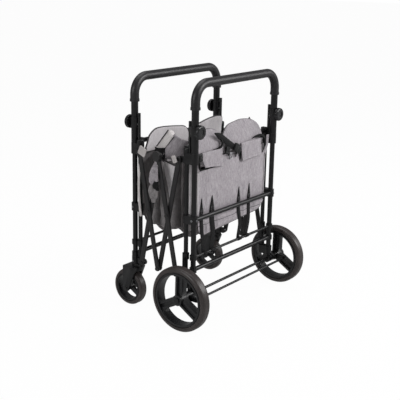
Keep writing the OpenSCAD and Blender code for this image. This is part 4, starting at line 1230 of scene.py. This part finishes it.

# loose webbing at the flaps' ends, with two tapered black strips painted in as the shadows under the flaps' lifted
# corners: places x, v, z along each piece, with its width there
ribbons = {
    "left_tail": ((-213, 5, 604, 9), (-212, 5, 590, 11), (-208, 7, 575, 9), (-204, 9, 563, 3)),
    # painted shadow: a tapered black strip under the left flap's lifted lower edge
    "left_flap_shadow": ((-210, 9.0, 571, 14), (-180, 8.6, 571, 12), (-140, 8.6, 568, 8), (-82, 9.2, 565, 1.5)),
    "strap_tail": ((-86, 6.5, 664, 5), (-80, 5.0, 648, 15), (-86, 4.6, 637, 12), (-104, 6, 632, 6),
                   (-129, 9, 631, 1.5)),
    "clip_strap": ((-58, 6, 632, 14), (-48, 4, 618, 16), (-40, 5, 603, 10), (-38, 7, 594, 6)),
    "plug_tail": ((16, 5, 604, 9), (8, 4, 594, 9), (7, 6, 582, 7)),
    # painted shadow: a tapered black strip beside the right flap's lifted left end
    "right_flap_shadow": ((36, 3, 600, 15), (37, 4, 588, 12), (38, 6, 574, 7), (38, 8, 560, 1.5)),
    "right_loop": ((115, 9.5, 634, 2), (138, 6.5, 640, 8), (163, 4.0, 640, 13), (184, 2.5, 633, 15),
                   (195, 2.5, 617, 15), (197, 4.0, 598, 12), (195, 6.5, 582, 8), (192, 9.5, 568, 2)),
}


def makeRibbon(name):
    spine = smoothLine([fromRear(*row[:3]) for row in ribbons[name]])
    widths = smoothLine([(row[3], 0, 0) for row in ribbons[name]])
    return sweepPiece(name, spine, bandSection(1.0, 1.8), (0, -1, 0.01), webbing,
                      scale=lambda t: (widths[round(t * (len(widths) - 1))].x, 1))


flapWebbing = dress(joined("flap_webbing", [makeRibbon(name) for name in ribbons]), "webbing", "rear_frame")
print("stage: webbing made")

# plugs in the tops of the inner posts
plug = {"r": 13, "low": 632, "high": 653, "round": 4}


def makePlug(x, y):
    def shaped(work):
        bmesh.ops.create_cone(work, cap_ends=True, segments=32, radius1=plug["r"] * mm, radius2=plug["r"] * mm,
                              depth=(plug["high"] - plug["low"]) * mm)
        bmesh.ops.translate(work, vec=Vector((x, y, (plug["low"] + plug["high"]) / 2)) * mm, verts=work.verts)

    piece = meshPiece("plug", [], [], mouldedNylon)
    edited(piece.data, shaped)
    return bevelled(piece, plug["round"], 4)


for end in ends:
    y = middleOf(f"{end}_inner_posts").y
    plugs = joined(f"{end}_post_plugs", [makePlug(k * place["innerX"], y) for k in (-1, 1)])
    plugs.data.set_sharp_from_angle(angle=math.radians(50))
    dress(plugs, "black_plastic", f"{end}_frame")

# ribbed end caps on the hung links' upper ends: size, shift from the pivot and the way they lean
cap = {"rear": ((7, 17, 26), (6, 2), -24), "front": ((7, 34, 32), (-20, 8), 24), "ribs": 4, "ribOut": 3.4}


def makeCap(end, side):
    size, shift, lean = cap[end]
    link = f"{end}_hung_link_{side}"
    joint = next(j for j in behaviour["joints"] if j["child"] == link)
    low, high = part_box(link)
    face = low.x if side == "left" else high.x
    middle = Vector((face, *joint["pos_m"][1:])) + Vector((0, *shift)) * mm
    turn = Matrix.Rotation(math.radians(lean), 4, "X")
    parts = [boxPiece(Vector((0, 0, 0)), size, greyNylon, 0.0, 3.0)]
    for k in range(cap["ribs"]):
        up = (k - (cap["ribs"] - 1) / 2) * size[2] / (cap["ribs"] + 1)
        at = Vector((sideOf[side] * cap["ribOut"], 0, up)) * mm
        parts.append(boxPiece(at, (2, size[1] - 4, 3), greyNylon, 0.0, 0.9))
    piece = joined(f"{link}_cap", parts)
    piece.data.transform(Matrix.Translation(middle) @ turn)
    dress(piece, "black_plastic", link)


for end in ends:
    for side in sideOf:
        makeCap(end, side)
print("stage: end caps made")

# stitches, one piece for each end
stitches = stitchTree()
for body, lines in sewn.items():
    points, edges = [], []
    for line in lines:
        edges += [(len(points) + k, len(points) + k + 1) for k in range(len(line) - 1)]
        points += line
    piece = runTree(meshPiece(body + "_stitches", points, [], edges=edges), stitches, sewing)
    dress(piece, "grey_cloth", body)

# screws: the node they sit on, how far up its height, and whether they are driven from the side or the end
screws = {
    "size": {"Radius": 4.2 * mm, "Height": 2.6 * mm, "Recess": 1.9 * mm, "Material": zincSteel},
    "spots": (("top_brackets", 0.5, "side"), ("top_brackets", 0.72, "end"), ("mid_brackets", 0.5, "side"),
              ("mid_brackets", 0.5, "end"), ("axle_brackets", 0.62, "end"), ("axle_brackets", 0.38, "end"),
              ("housings", 0.55, "side"), ("housings", 0.5, "end")),
}


def screwPoints(end):
    line = place[end + "Y"]
    facing = 1 if end == "rear" else -1
    found = []
    for kind, share, way in screws["spots"]:
        name = f"{end}_{kind}" if f"{end}_{kind}" in nodes else f"caster_{kind}"
        if name not in nodes or bodyOf[name] != end + "_frame":
            continue
        mesh = nodes[name].data
        tree = BVHTree.FromPolygons([v.co for v in mesh.vertices], [p.vertices for p in mesh.polygons])
        z = between([corner.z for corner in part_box(name)], share)
        for side in (-1, 1):
            if way == "side":
                start, ahead = Vector((side * 0.5, line * mm, z)), Vector((-side, 0, 0))
            else:
                start = Vector((side * place["innerX"] * mm, (line - facing * 300) * mm, z))
                ahead = Vector((0, facing, 0))
            hit = tree.ray_cast(start, ahead)[0]
            if hit is not None:
                found.append((hit, -ahead))
    return found


screwHeads = screwTree()
for end in ends:
    found = screwPoints(end)
    piece = meshPiece(end + "_screws", [at for at, axis in found], [])
    axes = piece.data.attributes.new("axis", "FLOAT_VECTOR", "POINT")
    for k, (at, axis) in enumerate(found):
        axes.data[k].vector = axis
    runTree(piece, screwHeads, screws["size"])
    piece.data.set_sharp_from_angle(angle=math.radians(40))
    dress(piece, "black_steel", end + "_frame")
    print("screws,", end, len(found))
print("stage: stitches and screws made")

# floor of the room, light and background; each lamp by its power, place and size
light = {"world": 0.18, "floorGlow": 0.97, "mirrored": 0.38, "aim": (0, 0, 0.45), "half": 30, "floorZ": -0.0006}
lamps = {
    "key": (67.0, (0.9, -3.2, 2.6), (1.3, 1.3)),
    "side": (41.0, (2.5, -2.4, 1.9), (1.3, 1.7)),
    "fill": (32.0, (-3.4, 0.6, 1.8), (1.2, 1.2)),
    "top": (46.0, (0.2, 0.4, 3.6), (2.6, 2.6)),
}


# whether a ray comes from the camera, straight or through something clear
def seenFrom(add, path):
    return add("Math", {"operation": "MAXIMUM"}, {0: (path, "Is Camera Ray"), 1: (path, "Is Transmission Ray")})


# Pale matt floor: seen as white paper, and mirrored dimly in the glossy parts
def floorMaterial():
    material, add = newMaterial("pale_floor")
    path = add("LightPath")
    seen = add("Math", {"operation": "MULTIPLY", 1: light["floorGlow"]}, {0: (seenFrom(add, path), 0)})
    share = add("Math", {"operation": "MAXIMUM"}, {0: (seen, 0), 1: (path, "Is Glossy Ray")})
    glow = mapped(add, (path, "Is Glossy Ray"), 1.0, light["mirrored"])
    matt = add("BsdfDiffuse", {"Color": linear("#f6f6f5")})
    white = add("Emission", {"Color": (1, 1, 1, 1)}, {"Strength": (glow, 0)})
    mix = add("MixShader", links={0: (share, 0), 1: (matt, 0), 2: (white, 0)})
    add("OutputMaterial", links={"Surface": (mix, 0)})
    return material


def addStage():
    half = light["half"]
    corners = [(x * half, y * half, light["floorZ"]) for x, y in ((-1, -1), (1, -1), (1, 1), (-1, 1))]
    meshPiece("stage_floor", corners, [(0, 1, 2, 3)], floorMaterial())
    scene.world = bpy.data.worlds.new("studio")
    scene.world.use_nodes = True
    scene.world.node_tree.nodes.clear()
    add = adderOf(scene.world.node_tree)
    level = mapped(add, (seenFrom(add, add("LightPath")), 0), light["world"], 1.0)
    sky = add("Background", {"Color": (1, 1, 1, 1)}, {"Strength": (level, 0)})
    add("OutputWorld", links={"Surface": (sky, 0)})
    for name, (power, at, size) in lamps.items():
        lamp = bpy.data.lights.new(name, "AREA")
        lamp.shape = "RECTANGLE"
        lamp.energy = power
        lamp.size, lamp.size_y = size
        holder = placed(name, lamp)
        holder.location = at
        holder.rotation_euler = (Vector(light["aim"]) - Vector(at)).to_track_quat("-Z", "Y").to_euler()


addStage()
print("stage: light and floor set")
